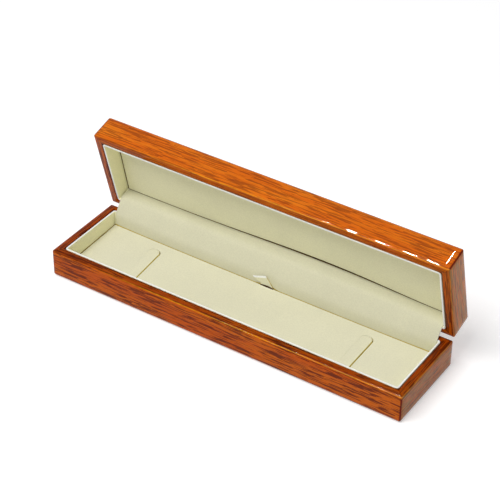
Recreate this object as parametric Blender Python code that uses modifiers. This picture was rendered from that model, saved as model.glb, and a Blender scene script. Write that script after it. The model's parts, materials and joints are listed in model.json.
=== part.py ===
"""Slim wooden watch box with its lid open: a mitred, veneered case with a cream lining and a strap pad.

Metres, +Z up, the front towards -Y. The origin is the centre of the base's underside.
The lid is modelled closed, and the empty on its hinge axis then swings it open.
"""

import math

import bmesh
import bpy
from mathutils import Matrix, Vector

# Case
LENGTH = 0.2400
WIDTH = 0.0590
BASE_HEIGHT = 0.0185
LID_HEIGHT = 0.0172
PARTING_GAP = 0.0003
WALL = 0.0052
BACK_WALL = 0.0038
CORNER_RADIUS = 0.0010
OUTER_EDGE_RADIUS = 0.0016
RIM_RADIUS = 0.0009
INNER_RIM_RADIUS = 0.0004
INNER_CORNER_RADIUS = 0.0022
LID_OPEN_ANGLE = math.radians(75)

# Clearances and cuts
SEAT_GAP = 0.0003
GLUE_GAP = 0.0001
OVERRUN = 0.0020

# Bottom board, top panel and felt
BOARD = 0.0026
REBATE = 0.0022
FELT = 0.0008
FOOT_GAP = 0.0003
BOARD_EDGE_RADIUS = 0.0003

# Lining on the walls
LINING = 0.0011
LINING_RETURN = 0.0019
LINING_EDGE_RADIUS = 0.0003

# Strap pad, lying in the base on a foam bed that is thicker towards the back
PAD_TOP = 0.0086
PAD_THICKNESS = 0.0020
PAD_SLOPE = 0.035
PAD_BACK_GAP = 0.0003
PAD_EDGE_RADIUS = 0.0007
PAD_CORNER_RADIUS = 0.0016

# Tongues cut in the strap pad, free at the back
TONGUE_INSET = 0.0455
TONGUE_WIDTH = 0.0085
TONGUE_LENGTH = 0.0340
TONGUE_END = 0.0160
TONGUE_RADIUS = 0.0036
TONGUE_EDGE_RADIUS = 0.0002
SLIT = 0.0006

# Pull ribbon at the middle of the pad's back edge
RIBBON_WIDTH = 0.0092
RIBBON_TOP_WIDTH = 0.0079
RIBBON_THICKNESS = 0.0005
RIBBON_HEIGHT = 0.0040
RIBBON_TOP_RISE = 0.0022
RIBBON_LEAN = 0.0060
RIBBON_FLARE = 0.0012
RIBBON_SLOT = 0.0009

# Pad in the lid, thicker towards the hinge
LID_PAD_DEPTH = 0.0102
LID_PAD_SLOPE = 0.035
LID_PAD_EDGE_RADIUS = 0.0008
LID_PAD_BACK_GAP = 0.0008

# Flap of leatherette that hides the hinges. It is fixed to both back walls and stands out between them.
FLAP = 0.0007
FLAP_STAND_OFF = 0.0003
FLAP_END_GAP = 0.0003
FLAP_GLUED = 0.0022
FLAP_BASE_STAND = 0.0017
FLAP_BASE_BULGE = 0.0010
FLAP_RIM_STAND = 0.0003
FLAP_RIM_BULGE = 0.0007
FLAP_SHOULDER_STAND = 0.0019
FLAP_SHOULDER_BULGE = 0.0010
FLAP_LID_STAND = 0.0004
FLAP_LID_BULGE = 0.0041
FLAP_BEND_DROP = 0.0028
FLAP_END_POWER = 4
FLAP_SKEW_POWER = 1.52
FLAP_SHOULDER_SHARES = (0.25, 0.68)

# Hinges: small butt hinges let into the rims, pivoting just behind the case
HINGE_INSET = 0.0480
HINGE_LENGTH = 0.0240
HINGE_OFFSET = 0.0010
LEAF = 0.0008
LEAF_DEPTH = 0.0026
LEAF_RADIUS = 0.0002
KNUCKLE_RADIUS = 0.0016
KNUCKLES = 5
KNUCKLE_GAP = 0.0003
PIN_RADIUS = 0.00065
PIN_OVERHANG = 0.0003

# Screws of the hinges
SCREW_INSET = 0.0040
SCREW_LENGTH = 0.0045
SCREW_HEAD_RADIUS = 0.0008
SCREW_HEAD_HEIGHT = 0.0005
SCREW_RADIUS = 0.0004
SCREW_TIP = 0.0008
SCREW_GAP = 0.00015

# Smoothness of round shapes
ROUND_STEPS = 24
SMALL_STEPS = 12
CORNER_STEPS = 5
EDGE_SEGMENTS = 4
FLAP_COLUMNS = 12
BOW_STEPS = 12
MERGE = 0.000001

# Places that follow from the sizes
BASE_RIM = BASE_HEIGHT
LID_RIM = BASE_HEIGHT + PARTING_GAP
LID_TOP = LID_RIM + LID_HEIGHT
HINGE_Y = WIDTH / 2 + HINGE_OFFSET
HINGE_Z = BASE_HEIGHT + PARTING_GAP / 2
LEAF_BACK = HINGE_Y - KNUCKLE_RADIUS - SEAT_GAP
INNER_X = LENGTH / 2 - WALL
INNER_FRONT = -WIDTH / 2 + WALL
INNER_BACK = WIDTH / 2 - BACK_WALL
LINING_X = INNER_X - SEAT_GAP - LINING
LINING_FRONT = INNER_FRONT + SEAT_GAP + LINING
PAD_X = LINING_X - SEAT_GAP
PAD_FRONT = LINING_FRONT + SEAT_GAP
FLAP_Y = INNER_BACK - FLAP_STAND_OFF - FLAP / 2
FLAP_X = INNER_X - SEAT_GAP - LINING_RETURN - FLAP_END_GAP
BOARD_Z = FELT + SEAT_GAP
FLOOR = BOARD_Z + BOARD
TOP_PANEL_Z = LID_TOP - BOARD
TONGUE_ROOT = TONGUE_END - TONGUE_LENGTH

COLOURS = {
    "lacquered_wood": ((0.42, 0.10, 0.02), 0.15, 0.0),
    "cream_leatherette": ((0.72, 0.68, 0.52), 0.6, 0.0),
    "lining_cream": ((0.80, 0.78, 0.66), 0.6, 0.0),
    "felt_brown": ((0.10, 0.05, 0.03), 0.95, 0.0),
    "foam_grey": ((0.35, 0.34, 0.30), 0.9, 0.0),
    "hinge_brass": ((0.80, 0.58, 0.25), 0.3, 1.0),
    "steel_pin": ((0.55, 0.55, 0.56), 0.3, 1.0),
}


def clear_scene():
    for obj in list(bpy.data.objects):
        bpy.data.objects.remove(obj)


def collection(name):
    made = bpy.data.collections.new(name)
    bpy.context.scene.collection.children.link(made)
    return made


def material(name):
    if name in bpy.data.materials:
        return bpy.data.materials[name]
    colour, roughness, metallic = COLOURS[name]
    made = bpy.data.materials.new(name)
    made.use_nodes = True
    shader = made.node_tree.nodes["Principled BSDF"]
    shader.inputs["Base Color"].default_value = (*colour, 1)
    shader.inputs["Roughness"].default_value = roughness
    shader.inputs["Metallic"].default_value = metallic
    made.diffuse_color = (*colour, 1)
    return made


def add(name, mesh, material_name=None):
    """A visible piece, or a hidden cutter where no material is named."""
    obj = bpy.data.objects.new(name, mesh)
    if material_name:
        mesh.materials.append(material(material_name))
        bpy.data.collections["watch_box"].objects.link(obj)
    else:
        obj.hide_render = True
        obj.display_type = "WIRE"
        bpy.data.collections["cutters"].objects.link(obj)
    return obj


def mesh_from(bm, name):
    mesh = bpy.data.meshes.new(name)
    bmesh.ops.recalc_face_normals(bm, faces=bm.faces)
    bm.to_mesh(mesh)
    bm.free()
    return mesh


def box(name, low, high, material_name=None):
    low = Vector(low)
    high = Vector(high)
    bm = bmesh.new()
    place = Matrix.Translation((low + high) / 2) @ Matrix.Diagonal((high - low).to_4d())
    bmesh.ops.create_cube(bm, size=1, matrix=place)
    return add(name, mesh_from(bm, name), material_name)


def cylinder_along_x(name, centre, radius, length, steps, material_name=None):
    bm = bmesh.new()
    place = Matrix.Translation(centre) @ Matrix.Rotation(math.pi / 2, 4, "Y")
    bmesh.ops.create_cone(
        bm, cap_ends=True, segments=steps, radius1=radius, radius2=radius, depth=length, matrix=place
    )
    return add(name, mesh_from(bm, name), material_name)


def prism(name, outline, low, high, axis, material_name=None):
    """A flat outline drawn across the axis and extruded along it from low to high."""
    to_space = {
        "X": lambda u, v: (low, u, v),
        "Y": lambda u, v: (u, low, v),
        "Z": lambda u, v: (u, v, low),
    }[axis]
    along = {"X": Vector((1, 0, 0)), "Y": Vector((0, 1, 0)), "Z": Vector((0, 0, 1))}[axis]
    bm = bmesh.new()
    face = bm.faces.new([bm.verts.new(to_space(u, v)) for u, v in outline])
    swept = bmesh.ops.extrude_face_region(bm, geom=[face])
    moved = [v for v in swept["geom"] if isinstance(v, bmesh.types.BMVert)]
    bmesh.ops.translate(bm, verts=moved, vec=along * (high - low))
    return add(name, mesh_from(bm, name), material_name)


def loft(name, sections):
    """A cutter through outlines with the same number of points, each at its own height."""
    bm = bmesh.new()
    rings = [[bm.verts.new((x, y, height)) for x, y in outline] for height, outline in sections]
    bm.faces.new(rings[0])
    bm.faces.new(rings[-1])
    for lower, upper in zip(rings, rings[1:]):
        for i in range(len(lower)):
            bm.faces.new((lower[i - 1], lower[i], upper[i], upper[i - 1]))
    return add(name, mesh_from(bm, name))


def arc(centre, radius, start, end, steps):
    """Points on an arc in the plane, both ends included, angles in radians."""
    angles = [start + (end - start) * i / steps for i in range(steps + 1)]
    return [(centre[0] + radius * math.cos(a), centre[1] + radius * math.sin(a)) for a in angles]


def rounded_path(points, radius, steps, closed=False):
    """The points joined by straight runs, each corner replaced by an arc of this radius."""
    path = []
    count = len(points)
    for i, point in enumerate(points):
        if not closed and i in (0, count - 1):
            path.append(tuple(point))
            continue
        corner = Vector(point)
        back = (Vector(points[i - 1]) - corner).normalized()
        ahead = (Vector(points[(i + 1) % count]) - corner).normalized()
        half = back.angle(ahead) / 2
        centre = corner + (back + ahead).normalized() * (radius / math.sin(half))
        start = corner + back * (radius / math.tan(half)) - centre
        end = corner + ahead * (radius / math.tan(half)) - centre
        first = math.atan2(start.y, start.x)
        turn = math.atan2(start.cross(end), start.dot(end))
        path += arc(centre, radius, first, first + turn, steps)
    return path


def bowed_outline(half, front, back_at, radius):
    """A rounded rectangle in plan whose back edge follows a function of x."""
    inner = half - radius
    back = [inner - 2 * inner * i / BOW_STEPS for i in range(1, BOW_STEPS)]
    return [
        *arc((-inner, front + radius), radius, math.pi, 1.5 * math.pi, CORNER_STEPS),
        *arc((inner, front + radius), radius, 1.5 * math.pi, 2 * math.pi, CORNER_STEPS),
        *arc((inner, back_at(inner) - radius), radius, 0, math.pi / 2, CORNER_STEPS),
        *[(x, back_at(x)) for x in back],
        *arc((-inner, back_at(-inner) - radius), radius, math.pi / 2, math.pi, CORNER_STEPS),
    ]


def lean(obj, slope, side=0):
    """Tilts a piece up towards the back, or only its top face (side 1) or its bottom face (side -1)."""
    vertices = obj.data.vertices
    middle = sum(v.co.z for v in vertices) / len(vertices)
    for vertex in vertices:
        if not side or (vertex.co.z - middle) * side > 0:
            vertex.co.z += slope * vertex.co.y


def soften_box(obj, upright, top, bottom, segments=EDGE_SEGMENTS):
    """Rounds a box's upright, top and bottom edges by their own radii."""
    mesh = obj.data
    middle = sum(v.co.z for v in mesh.vertices) / len(mesh.vertices)
    widest = max(upright, top, bottom)
    weights = mesh.attributes.new("bevel_weight_edge", "FLOAT", "EDGE")
    for edge in mesh.edges:
        above = [mesh.vertices[i].co.z > middle for i in edge.vertices]
        radius = upright if above[0] != above[1] else top if above[0] else bottom
        weights.data[edge.index].value = radius / widest
    bevel = obj.modifiers.new("rounded edges", "BEVEL")
    bevel.limit_method = "WEIGHT"
    bevel.width = widest
    bevel.segments = segments


def soften(obj, radius, segments=2, least_angle=math.radians(35)):
    bevel = obj.modifiers.new("soft edges", "BEVEL")
    bevel.limit_method = "ANGLE"
    bevel.angle_limit = least_angle
    bevel.width = radius
    bevel.segments = segments


def combine(obj, other, operation="DIFFERENCE"):
    modifier = obj.modifiers.new(other.name, "BOOLEAN")
    modifier.operation = operation
    modifier.object = other
    modifier.solver = "EXACT"


def shade_round(obj):
    obj.data.shade_smooth()
    obj.data.set_sharp_from_angle(angle=math.radians(35))


def pivot(name, place):
    empty = bpy.data.objects.new(name, None)
    bpy.data.collections["watch_box"].objects.link(empty)
    empty.location = place
    return empty


def hang_on(empty, objects):
    """Parents objects modelled in place to the empty, so that turning it carries them."""
    for obj in objects:
        obj.parent = empty
        obj.matrix_parent_inverse = Matrix.Translation(-empty.location)


# Case: four mitred walls to a ring


def mitre_ends():
    """For each corner of the case, its outer and inner point in plan."""
    outer = [(x * LENGTH / 2, y * WIDTH / 2) for x, y in ((-1, -1), (1, -1), (1, 1), (-1, 1))]
    inner = [(-INNER_X, INNER_FRONT), (INNER_X, INNER_FRONT), (INNER_X, INNER_BACK), (-INNER_X, INNER_BACK)]
    return [(Vector(o), Vector(i)) for o, i in zip(outer, inner)]


def wall_outline(first, second):
    """The plan area between two mitres, each drawn in by half the glue line."""
    along = (second[0] - first[0]).normalized()
    points = []
    for (outer, inner), inward in ((first, along), (second, -along)):
        slant = (inner - outer).normalized()
        shift = inward * (GLUE_GAP / 2 / abs(slant.cross(inward)))
        points.append(outer - slant * OVERRUN + shift)
        points.append(inner + slant * OVERRUN + shift)
    return [points[0], points[2], points[3], points[1]]


def cavity_outline(growth):
    """The rounded rectangle inside the walls, grown outwards."""
    corners = [
        (-INNER_X - growth, INNER_FRONT - growth),
        (INNER_X + growth, INNER_FRONT - growth),
        (INNER_X + growth, INNER_BACK + growth),
        (-INNER_X - growth, INNER_BACK + growth),
    ]
    return rounded_path(corners, INNER_CORNER_RADIUS + growth, CORNER_STEPS, closed=True)


def rim_rounding(rim, side):
    """Levels and growths that round a rim's inner edge, from the wall up to the rim."""
    levels = []
    for i in range(EDGE_SEGMENTS + 1):
        angle = math.pi / 2 * i / EDGE_SEGMENTS
        drop = INNER_RIM_RADIUS * (1 - math.sin(angle))
        levels.append((rim - side * drop, INNER_RIM_RADIUS * (1 - math.cos(angle))))
    return levels


def case_walls(prefix, low, high, rim_on_top, rebate_low, rebate_high):
    """The four walls of the base or the lid, from one ring cut at its mitres."""
    levels = [(low - OVERRUN, 0), *rim_rounding(high, 1), (high + OVERRUN, INNER_RIM_RADIUS)]
    if not rim_on_top:
        levels = [(low - OVERRUN, INNER_RIM_RADIUS), *reversed(rim_rounding(low, -1)), (high + OVERRUN, 0)]
    cavity = loft(f"{prefix}_cavity", [(level, cavity_outline(growth)) for level, growth in levels])
    rebate = box(
        f"{prefix}_rebate",
        (-INNER_X - REBATE, INNER_FRONT - REBATE, rebate_low),
        (INNER_X + REBATE, INNER_BACK + REBATE, rebate_high),
    )
    cutters = [cavity, rebate]
    walls = {}
    corners = mitre_ends()
    for i, side in enumerate(("front", "right", "back", "left")):
        name = f"{prefix}_{side}_wall"
        wall = box(
            name, (-LENGTH / 2, -WIDTH / 2, low), (LENGTH / 2, WIDTH / 2, high), "lacquered_wood"
        )
        edge_radii = (RIM_RADIUS, OUTER_EDGE_RADIUS) if rim_on_top else (OUTER_EDGE_RADIUS, RIM_RADIUS)
        soften_box(wall, CORNER_RADIUS, *edge_radii)
        combine(wall, cavity)
        combine(wall, rebate)
        outline = wall_outline(corners[i], corners[(i + 1) % len(corners)])
        mitre = prism(f"{name}_mitre", outline, low - OVERRUN, high + OVERRUN, "Z")
        combine(wall, mitre, "INTERSECT")
        cutters.append(mitre)
        walls[side] = wall
    return walls, cutters


def board(name, low, high, material_name, radius):
    reach = REBATE - SEAT_GAP
    obj = box(
        name,
        (-INNER_X - reach, INNER_FRONT - reach, low),
        (INNER_X + reach, INNER_BACK + reach, high),
        material_name,
    )
    soften_box(obj, radius, radius, radius, 1)
    return obj


def wall_lining(name, low, high):
    """One padded strip round the front and sides, its ends turned in along the back wall."""
    middle = SEAT_GAP + LINING / 2
    x = INNER_X - middle
    front = INNER_FRONT + middle
    back = INNER_BACK - middle
    end = INNER_X - SEAT_GAP - LINING_RETURN
    corners = [(-end, back), (-x, back), (-x, front), (x, front), (x, back), (end, back)]
    radius = INNER_CORNER_RADIUS - middle
    path = rounded_path(corners, radius, CORNER_STEPS)
    bm = bmesh.new()
    lower = [bm.verts.new((px, py, low)) for px, py in path]
    edges = [bm.edges.new(pair) for pair in zip(lower, lower[1:])]
    raised = bmesh.ops.extrude_edge_only(bm, edges=edges)
    moved = [v for v in raised["geom"] if isinstance(v, bmesh.types.BMVert)]
    bmesh.ops.translate(bm, verts=moved, vec=(0, 0, high - low))
    obj = add(name, mesh_from(bm, name), "lining_cream")
    shell = obj.modifiers.new("thickness", "SOLIDIFY")
    shell.thickness = LINING
    shell.offset = 0
    soften(obj, LINING_EDGE_RADIUS)
    return obj


# Hinges


def hinge_level(side, distance):
    """A height at this distance from the pivot, below it on the base's side and above it on the lid's."""
    return HINGE_Z + side * distance


def knuckle_span(centre_x, index):
    pitch = HINGE_LENGTH / KNUCKLES
    low = centre_x - HINGE_LENGTH / 2 + pitch * index
    return low + KNUCKLE_GAP / 2, low + pitch - KNUCKLE_GAP / 2


def knuckle_outline(side):
    """A leaf's knuckle seen along the pivot: a round barrel with the leaf running into it."""
    inner = PARTING_GAP / 2
    outer = inner + LEAF
    first = math.pi + math.asin(outer / KNUCKLE_RADIUS)
    last = 3 * math.pi + math.asin(inner / KNUCKLE_RADIUS)
    start = LEAF_BACK - SEAT_GAP
    barrel = arc((0, 0), KNUCKLE_RADIUS, first, last, ROUND_STEPS)
    rounded = [(HINGE_Y + u, hinge_level(-side, v)) for u, v in barrel]
    return [(start, hinge_level(side, outer)), *rounded, (start, hinge_level(side, inner))]


def hinge_leaf(name, centre_x, side, indexes):
    levels = sorted((hinge_level(side, PARTING_GAP / 2), hinge_level(side, PARTING_GAP / 2 + LEAF)))
    half = HINGE_LENGTH / 2
    leaf = box(
        name,
        (centre_x - half, LEAF_BACK - LEAF_DEPTH, levels[0]),
        (centre_x + half, LEAF_BACK, levels[1]),
        "hinge_brass",
    )
    soften_box(leaf, LEAF_RADIUS, 0, 0, 1)
    cutters = []
    for index in indexes:
        low, high = knuckle_span(centre_x, index)
        knuckle = prism(f"{name}_knuckle_{index}", knuckle_outline(side), low, high, "X")
        combine(leaf, knuckle, "UNION")
        cutters.append(knuckle)
    bore = cylinder_along_x(
        f"{name}_bore",
        (centre_x, HINGE_Y, HINGE_Z),
        PIN_RADIUS + SEAT_GAP,
        HINGE_LENGTH + OVERRUN,
        SMALL_STEPS,
    )
    combine(leaf, bore)
    cutters.append(bore)
    for number, x in enumerate(screw_places(centre_x)):
        hole = screw_shape(f"{name}_hole_{number}", SCREW_GAP)
        place_screw(hole, x, side)
        combine(leaf, hole)
        cutters.append(hole)
    return leaf, cutters


def hinge_pin(name, centre_x):
    length = HINGE_LENGTH + 2 * PIN_OVERHANG
    pin = cylinder_along_x(
        name, (centre_x, HINGE_Y, HINGE_Z), PIN_RADIUS, length, SMALL_STEPS, "steel_pin"
    )
    soften(pin, LEAF_RADIUS, 1, math.radians(60))
    shade_round(pin)
    return pin


def screw_places(centre_x):
    return [centre_x + sign * (HINGE_LENGTH / 2 - SCREW_INSET) for sign in (-1, 1)]


def screw_shape(name, growth, material_name=None):
    """A countersunk screw turned round its axis, head up, or the hole that it leaves when it is grown."""
    sink = SEAT_GAP / 2
    top = OVERRUN if growth else -sink
    profile = [
        (0, top),
        (SCREW_HEAD_RADIUS + growth, top),
        (SCREW_HEAD_RADIUS + growth, -sink),
        (SCREW_RADIUS + growth, -sink - SCREW_HEAD_HEIGHT),
        (SCREW_RADIUS + growth, -SCREW_LENGTH + SCREW_TIP - growth),
        (0, -SCREW_LENGTH - growth),
    ]
    if not growth:
        del profile[2]
    bm = bmesh.new()
    points = [bm.verts.new((x, 0, z)) for x, z in profile]
    for pair in zip(points, points[1:]):
        bm.edges.new(pair)
    mesh = bpy.data.meshes.new(name)
    bm.to_mesh(mesh)
    bm.free()
    obj = add(name, mesh, material_name)
    turn = obj.modifiers.new("turned", "SCREW")
    turn.steps = turn.render_steps = SMALL_STEPS
    turn.use_merge_vertices = True
    turn.merge_threshold = MERGE
    turn.use_smooth_shade = False
    return obj


def place_screw(obj, x, side):
    """Stands a screw in a leaf, its head at the leaf's parting face."""
    obj.location = (x, LEAF_BACK - LEAF_DEPTH / 2, hinge_level(side, PARTING_GAP / 2))
    obj.rotation_euler = (0 if side < 0 else math.pi, 0, 0)


def cut_for_hinge(wall, name, centre_x, side):
    """Lets a leaf and its barrel into the back wall's rim, with pilot holes for its screws."""
    half = HINGE_LENGTH / 2 + SEAT_GAP
    deep = PARTING_GAP / 2 + LEAF + SEAT_GAP
    levels = sorted((hinge_level(side, deep), hinge_level(-side, OVERRUN)))
    seat = box(
        f"{name}_seat",
        (centre_x - half, INNER_BACK - OVERRUN, levels[0]),
        (centre_x + half, WIDTH / 2 + OVERRUN, levels[1]),
    )
    relief = cylinder_along_x(
        f"{name}_relief",
        (centre_x, HINGE_Y, HINGE_Z),
        KNUCKLE_RADIUS + SEAT_GAP,
        2 * half,
        ROUND_STEPS,
    )
    cutters = [seat, relief]
    for number, x in enumerate(screw_places(centre_x)):
        pilot = screw_shape(f"{name}_pilot_{number}", SCREW_GAP)
        place_screw(pilot, x, side)
        cutters.append(pilot)
    for cutter in cutters:
        combine(wall, cutter)
    return cutters


def hinges(base_wall, lid_wall):
    """Both hinges. What turns with the lid is returned for its empty."""
    moving = []
    for label, sign in (("left", -1), ("right", 1)):
        centre_x = sign * (LENGTH / 2 - HINGE_INSET)
        for part, side, wall in (("base", -1, base_wall), ("lid", 1, lid_wall)):
            name = f"{label}_hinge_{part}"
            indexes = range(0 if side < 0 else 1, KNUCKLES, 2)
            leaf, made = hinge_leaf(f"{name}_leaf", centre_x, side, indexes)
            made += cut_for_hinge(wall, name, centre_x, side)
            made.append(leaf)
            for number, x in enumerate(screw_places(centre_x), 1):
                screw = screw_shape(f"{name}_screw_{number}", 0, "hinge_brass")
                place_screw(screw, x, side)
                made.append(screw)
            if side > 0:
                moving += made
        hinge_pin(f"{label}_hinge_pin", centre_x)
    return moving


# Soft pieces


def tongue_outline(width, end, root, radius):
    """A strap with a straight root at the front and a rounded free end at the back, about x = 0."""
    half = width / 2
    corner = (half - radius, end - radius)
    right = arc(corner, radius, 0, math.pi / 2, CORNER_STEPS)
    left = arc((-corner[0], corner[1]), radius, math.pi / 2, math.pi, CORNER_STEPS)
    return [(half, root), *right, *left, (-half, root)]


def shifted(outline, x):
    return [(u + x, v) for u, v in outline]


def strap_pad():
    """The lift-out pad, with two tongues that hold down a strap's ends."""
    low = PAD_TOP - PAD_THICKNESS
    plan = bowed_outline(PAD_X, PAD_FRONT, pad_back, PAD_CORNER_RADIUS)
    pad = prism("strap_pad", plan, low, PAD_TOP, "Z", "cream_leatherette")
    lean(pad, PAD_SLOPE)
    soften(pad, PAD_EDGE_RADIUS, EDGE_SEGMENTS - 1, math.radians(60))
    window = tongue_outline(
        TONGUE_WIDTH + 2 * SLIT, TONGUE_END + SLIT, TONGUE_ROOT - SEAT_GAP, TONGUE_RADIUS + SLIT
    )
    outline = tongue_outline(TONGUE_WIDTH, TONGUE_END, TONGUE_ROOT, TONGUE_RADIUS)
    for label, sign in (("left", -1), ("right", 1)):
        x = sign * (LENGTH / 2 - TONGUE_INSET)
        hole = prism(f"{label}_window", shifted(window, x), 0, BASE_HEIGHT, "Z")
        combine(pad, hole)
        tongue = prism(
            f"{label}_strap_tongue", shifted(outline, x), low, PAD_TOP, "Z", "cream_leatherette"
        )
        lean(tongue, PAD_SLOPE)
        soften(tongue, TONGUE_EDGE_RADIUS, 1)
        crease = pivot(f"{label}_tongue_crease", (x, TONGUE_ROOT, PAD_TOP + PAD_SLOPE * TONGUE_ROOT))
        hang_on(crease, [tongue])
    slot_half = RIBBON_WIDTH / 2 + SEAT_GAP
    slot = box(
        "ribbon_slot",
        (-slot_half, pad_back(0) - RIBBON_SLOT, 0),
        (slot_half, pad_back(0) + OVERRUN, BASE_HEIGHT),
    )
    combine(pad, slot)


def pull_ribbon():
    """A folded ribbon fixed to the pad's back edge, standing up and leaning to the left."""
    edge = PAD_TOP + PAD_SLOPE * pad_back(0)
    low = edge - PAD_THICKNESS
    half = RIBBON_WIDTH / 2
    top_left = -RIBBON_LEAN - RIBBON_TOP_WIDTH / 2
    outline = [
        (-half, low),
        (half, low),
        (half, edge),
        (half - RIBBON_FLARE * 2, edge + RIBBON_FLARE),
        (top_left + RIBBON_TOP_WIDTH, edge + RIBBON_HEIGHT + RIBBON_TOP_RISE / 2),
        (top_left, edge + RIBBON_HEIGHT - RIBBON_TOP_RISE / 2),
        (-half, edge),
    ]
    back = pad_back(0)
    ribbon = prism("pull_ribbon", outline, back - RIBBON_THICKNESS, back, "Y", "cream_leatherette")
    soften(ribbon, BOARD_EDGE_RADIUS / 2, 1)
    return ribbon


def foam_bed():
    """The springy bed under the strap pad, its top following the pad's slope."""
    top = PAD_TOP - PAD_THICKNESS - SEAT_GAP
    plan = bowed_outline(PAD_X, PAD_FRONT, pad_back, PAD_CORNER_RADIUS)
    bed = prism("pad_foam_bed", plan, FLOOR + SEAT_GAP, top, "Z", "foam_grey")
    lean(bed, PAD_SLOPE, 1)
    return bed


def lid_pad():
    """The padded board in the lid, its face sloping down towards the hinge."""
    face = LID_RIM + LID_PAD_DEPTH
    plan = bowed_outline(PAD_X, PAD_FRONT, lid_pad_back, PAD_CORNER_RADIUS)
    pad = prism("lid_pad", plan, face, TOP_PANEL_Z - SEAT_GAP, "Z", "cream_leatherette")
    lean(pad, -LID_PAD_SLOPE, -1)
    soften(pad, LID_PAD_EDGE_RADIUS, EDGE_SEGMENTS - 1, math.radians(60))
    return pad


def flap_shares(x):
    """How full the flap's swelling is at x: in the base, and in the lid, where it peaks right of the middle."""
    along = min(max((x + FLAP_X) / (2 * FLAP_X), 0), 1)
    base_share = 1 - abs(2 * along - 1) ** FLAP_END_POWER
    lid_share = math.sin(math.pi * along**FLAP_SKEW_POWER) ** 2
    return base_share, lid_share


def pad_back(x):
    """The strap pad's back edge, just in front of the flap."""
    base_share, _ = flap_shares(x)
    return FLAP_Y - FLAP / 2 - FLAP_BASE_STAND - FLAP_BASE_BULGE * base_share - PAD_BACK_GAP


def lid_pad_back(x):
    """The lid pad's back edge, just in front of the flap."""
    _, lid_share = flap_shares(x)
    return FLAP_Y - FLAP / 2 - FLAP_LID_STAND - FLAP_LID_BULGE * lid_share - LID_PAD_BACK_GAP


def flap_profile(x):
    """The flap's middle line at x, in the Y-Z plane, from the base's floor to the lid's top."""
    base_share, lid_share = flap_shares(x)
    in_base = FLAP_Y - FLAP_BASE_STAND - FLAP_BASE_BULGE * base_share
    at_rim = FLAP_Y - FLAP_RIM_STAND - FLAP_RIM_BULGE * lid_share
    shoulder = FLAP_Y - FLAP_SHOULDER_STAND - FLAP_SHOULDER_BULGE * lid_share
    at_pad = FLAP_Y - FLAP_LID_STAND - FLAP_LID_BULGE * lid_share
    base_part = [
        (FLAP_Y, FLOOR + SEAT_GAP),
        (FLAP_Y, FLOOR + FLAP_GLUED),
        (in_base, PAD_TOP),
        (in_base, BASE_RIM - FLAP_BEND_DROP),
        (at_rim, BASE_RIM + PARTING_GAP),
    ]
    lid_part = [
        (at_rim, LID_RIM),
        *[(shoulder, LID_RIM + LID_PAD_DEPTH * share) for share in FLAP_SHOULDER_SHARES],
        (at_pad, LID_RIM + LID_PAD_DEPTH),
        (FLAP_Y, TOP_PANEL_Z - FLAP_GLUED),
        (FLAP_Y, TOP_PANEL_Z - SEAT_GAP),
    ]
    return [Vector(p) for p in base_part] + [opened(*p) for p in lid_part]


def opened(y, z):
    """Where a point of the closed lid lies when the lid is open, in the Y-Z plane."""
    arm = Vector((y - HINGE_Y, z - HINGE_Z))
    cosine = math.cos(LID_OPEN_ANGLE)
    sine = math.sin(LID_OPEN_ANGLE)
    return Vector((HINGE_Y + arm.x * cosine + arm.y * sine, HINGE_Z - arm.x * sine + arm.y * cosine))


def hinge_flap():
    """A sheet from the base's back wall over the hinges to the lid's back wall, from a coarse cage."""
    columns = [FLAP_X * (2 * i / FLAP_COLUMNS - 1) for i in range(FLAP_COLUMNS + 1)]
    bm = bmesh.new()
    rows = [[bm.verts.new((x, p.x, p.y)) for p in flap_profile(x)] for x in columns]
    for near, far in zip(rows, rows[1:]):
        for i in range(len(near) - 1):
            bm.faces.new((near[i], near[i + 1], far[i + 1], far[i]))
    flap = add("hinge_flap", mesh_from(bm, "hinge_flap"), "cream_leatherette")
    smooth = flap.modifiers.new("smooth sheet", "SUBSURF")
    smooth.levels = smooth.render_levels = 1
    smooth.boundary_smooth = "PRESERVE_CORNERS"
    sheet = flap.modifiers.new("thickness", "SOLIDIFY")
    sheet.thickness = FLAP
    sheet.offset = 0
    flap.data.shade_smooth()
    return flap


def base():
    walls, _ = case_walls("base", FOOT_GAP, BASE_RIM, True, -OVERRUN, FLOOR + SEAT_GAP)
    board("base_underside_felt", 0, FELT, "felt_brown", BOARD_EDGE_RADIUS / 2)
    board("base_bottom_board", BOARD_Z, FLOOR, "lacquered_wood", BOARD_EDGE_RADIUS)
    wall_lining("base_wall_lining", FLOOR + SEAT_GAP, BASE_RIM - SEAT_GAP)
    foam_bed()
    strap_pad()
    pull_ribbon()
    return walls["back"]


def lid():
    """The lid's pieces and cutters, modelled closed."""
    walls, made = case_walls(
        "lid", LID_RIM, LID_TOP, False, TOP_PANEL_Z - SEAT_GAP, LID_TOP + OVERRUN
    )
    made += walls.values()
    made.append(board("lid_top_panel", TOP_PANEL_Z, LID_TOP, "lacquered_wood", BOARD_EDGE_RADIUS))
    made.append(wall_lining("lid_wall_lining", LID_RIM + SEAT_GAP, TOP_PANEL_Z - SEAT_GAP))
    made.append(lid_pad())
    return walls["back"], made


def main():
    clear_scene()
    collection("watch_box")
    collection("cutters")
    base_back = base()
    lid_back, turning = lid()
    turning += hinges(base_back, lid_back)
    hinge_flap()
    axis = pivot("lid_hinge_axis", (0, HINGE_Y, HINGE_Z))
    hang_on(axis, turning)
    axis.rotation_euler = (-LID_OPEN_ANGLE, 0, 0)


main()
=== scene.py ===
"""Dressed model of a slim wooden watch box with its lid open.

Laid out as a Blender add-on and run as a script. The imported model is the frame: its wooden and metal
pieces get their finish here, and its soft pieces are replaced by padded and folded ones. Metres, +Z up,
the front towards -Y. Pieces of the lid are made closed and then swung open.
"""

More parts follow.
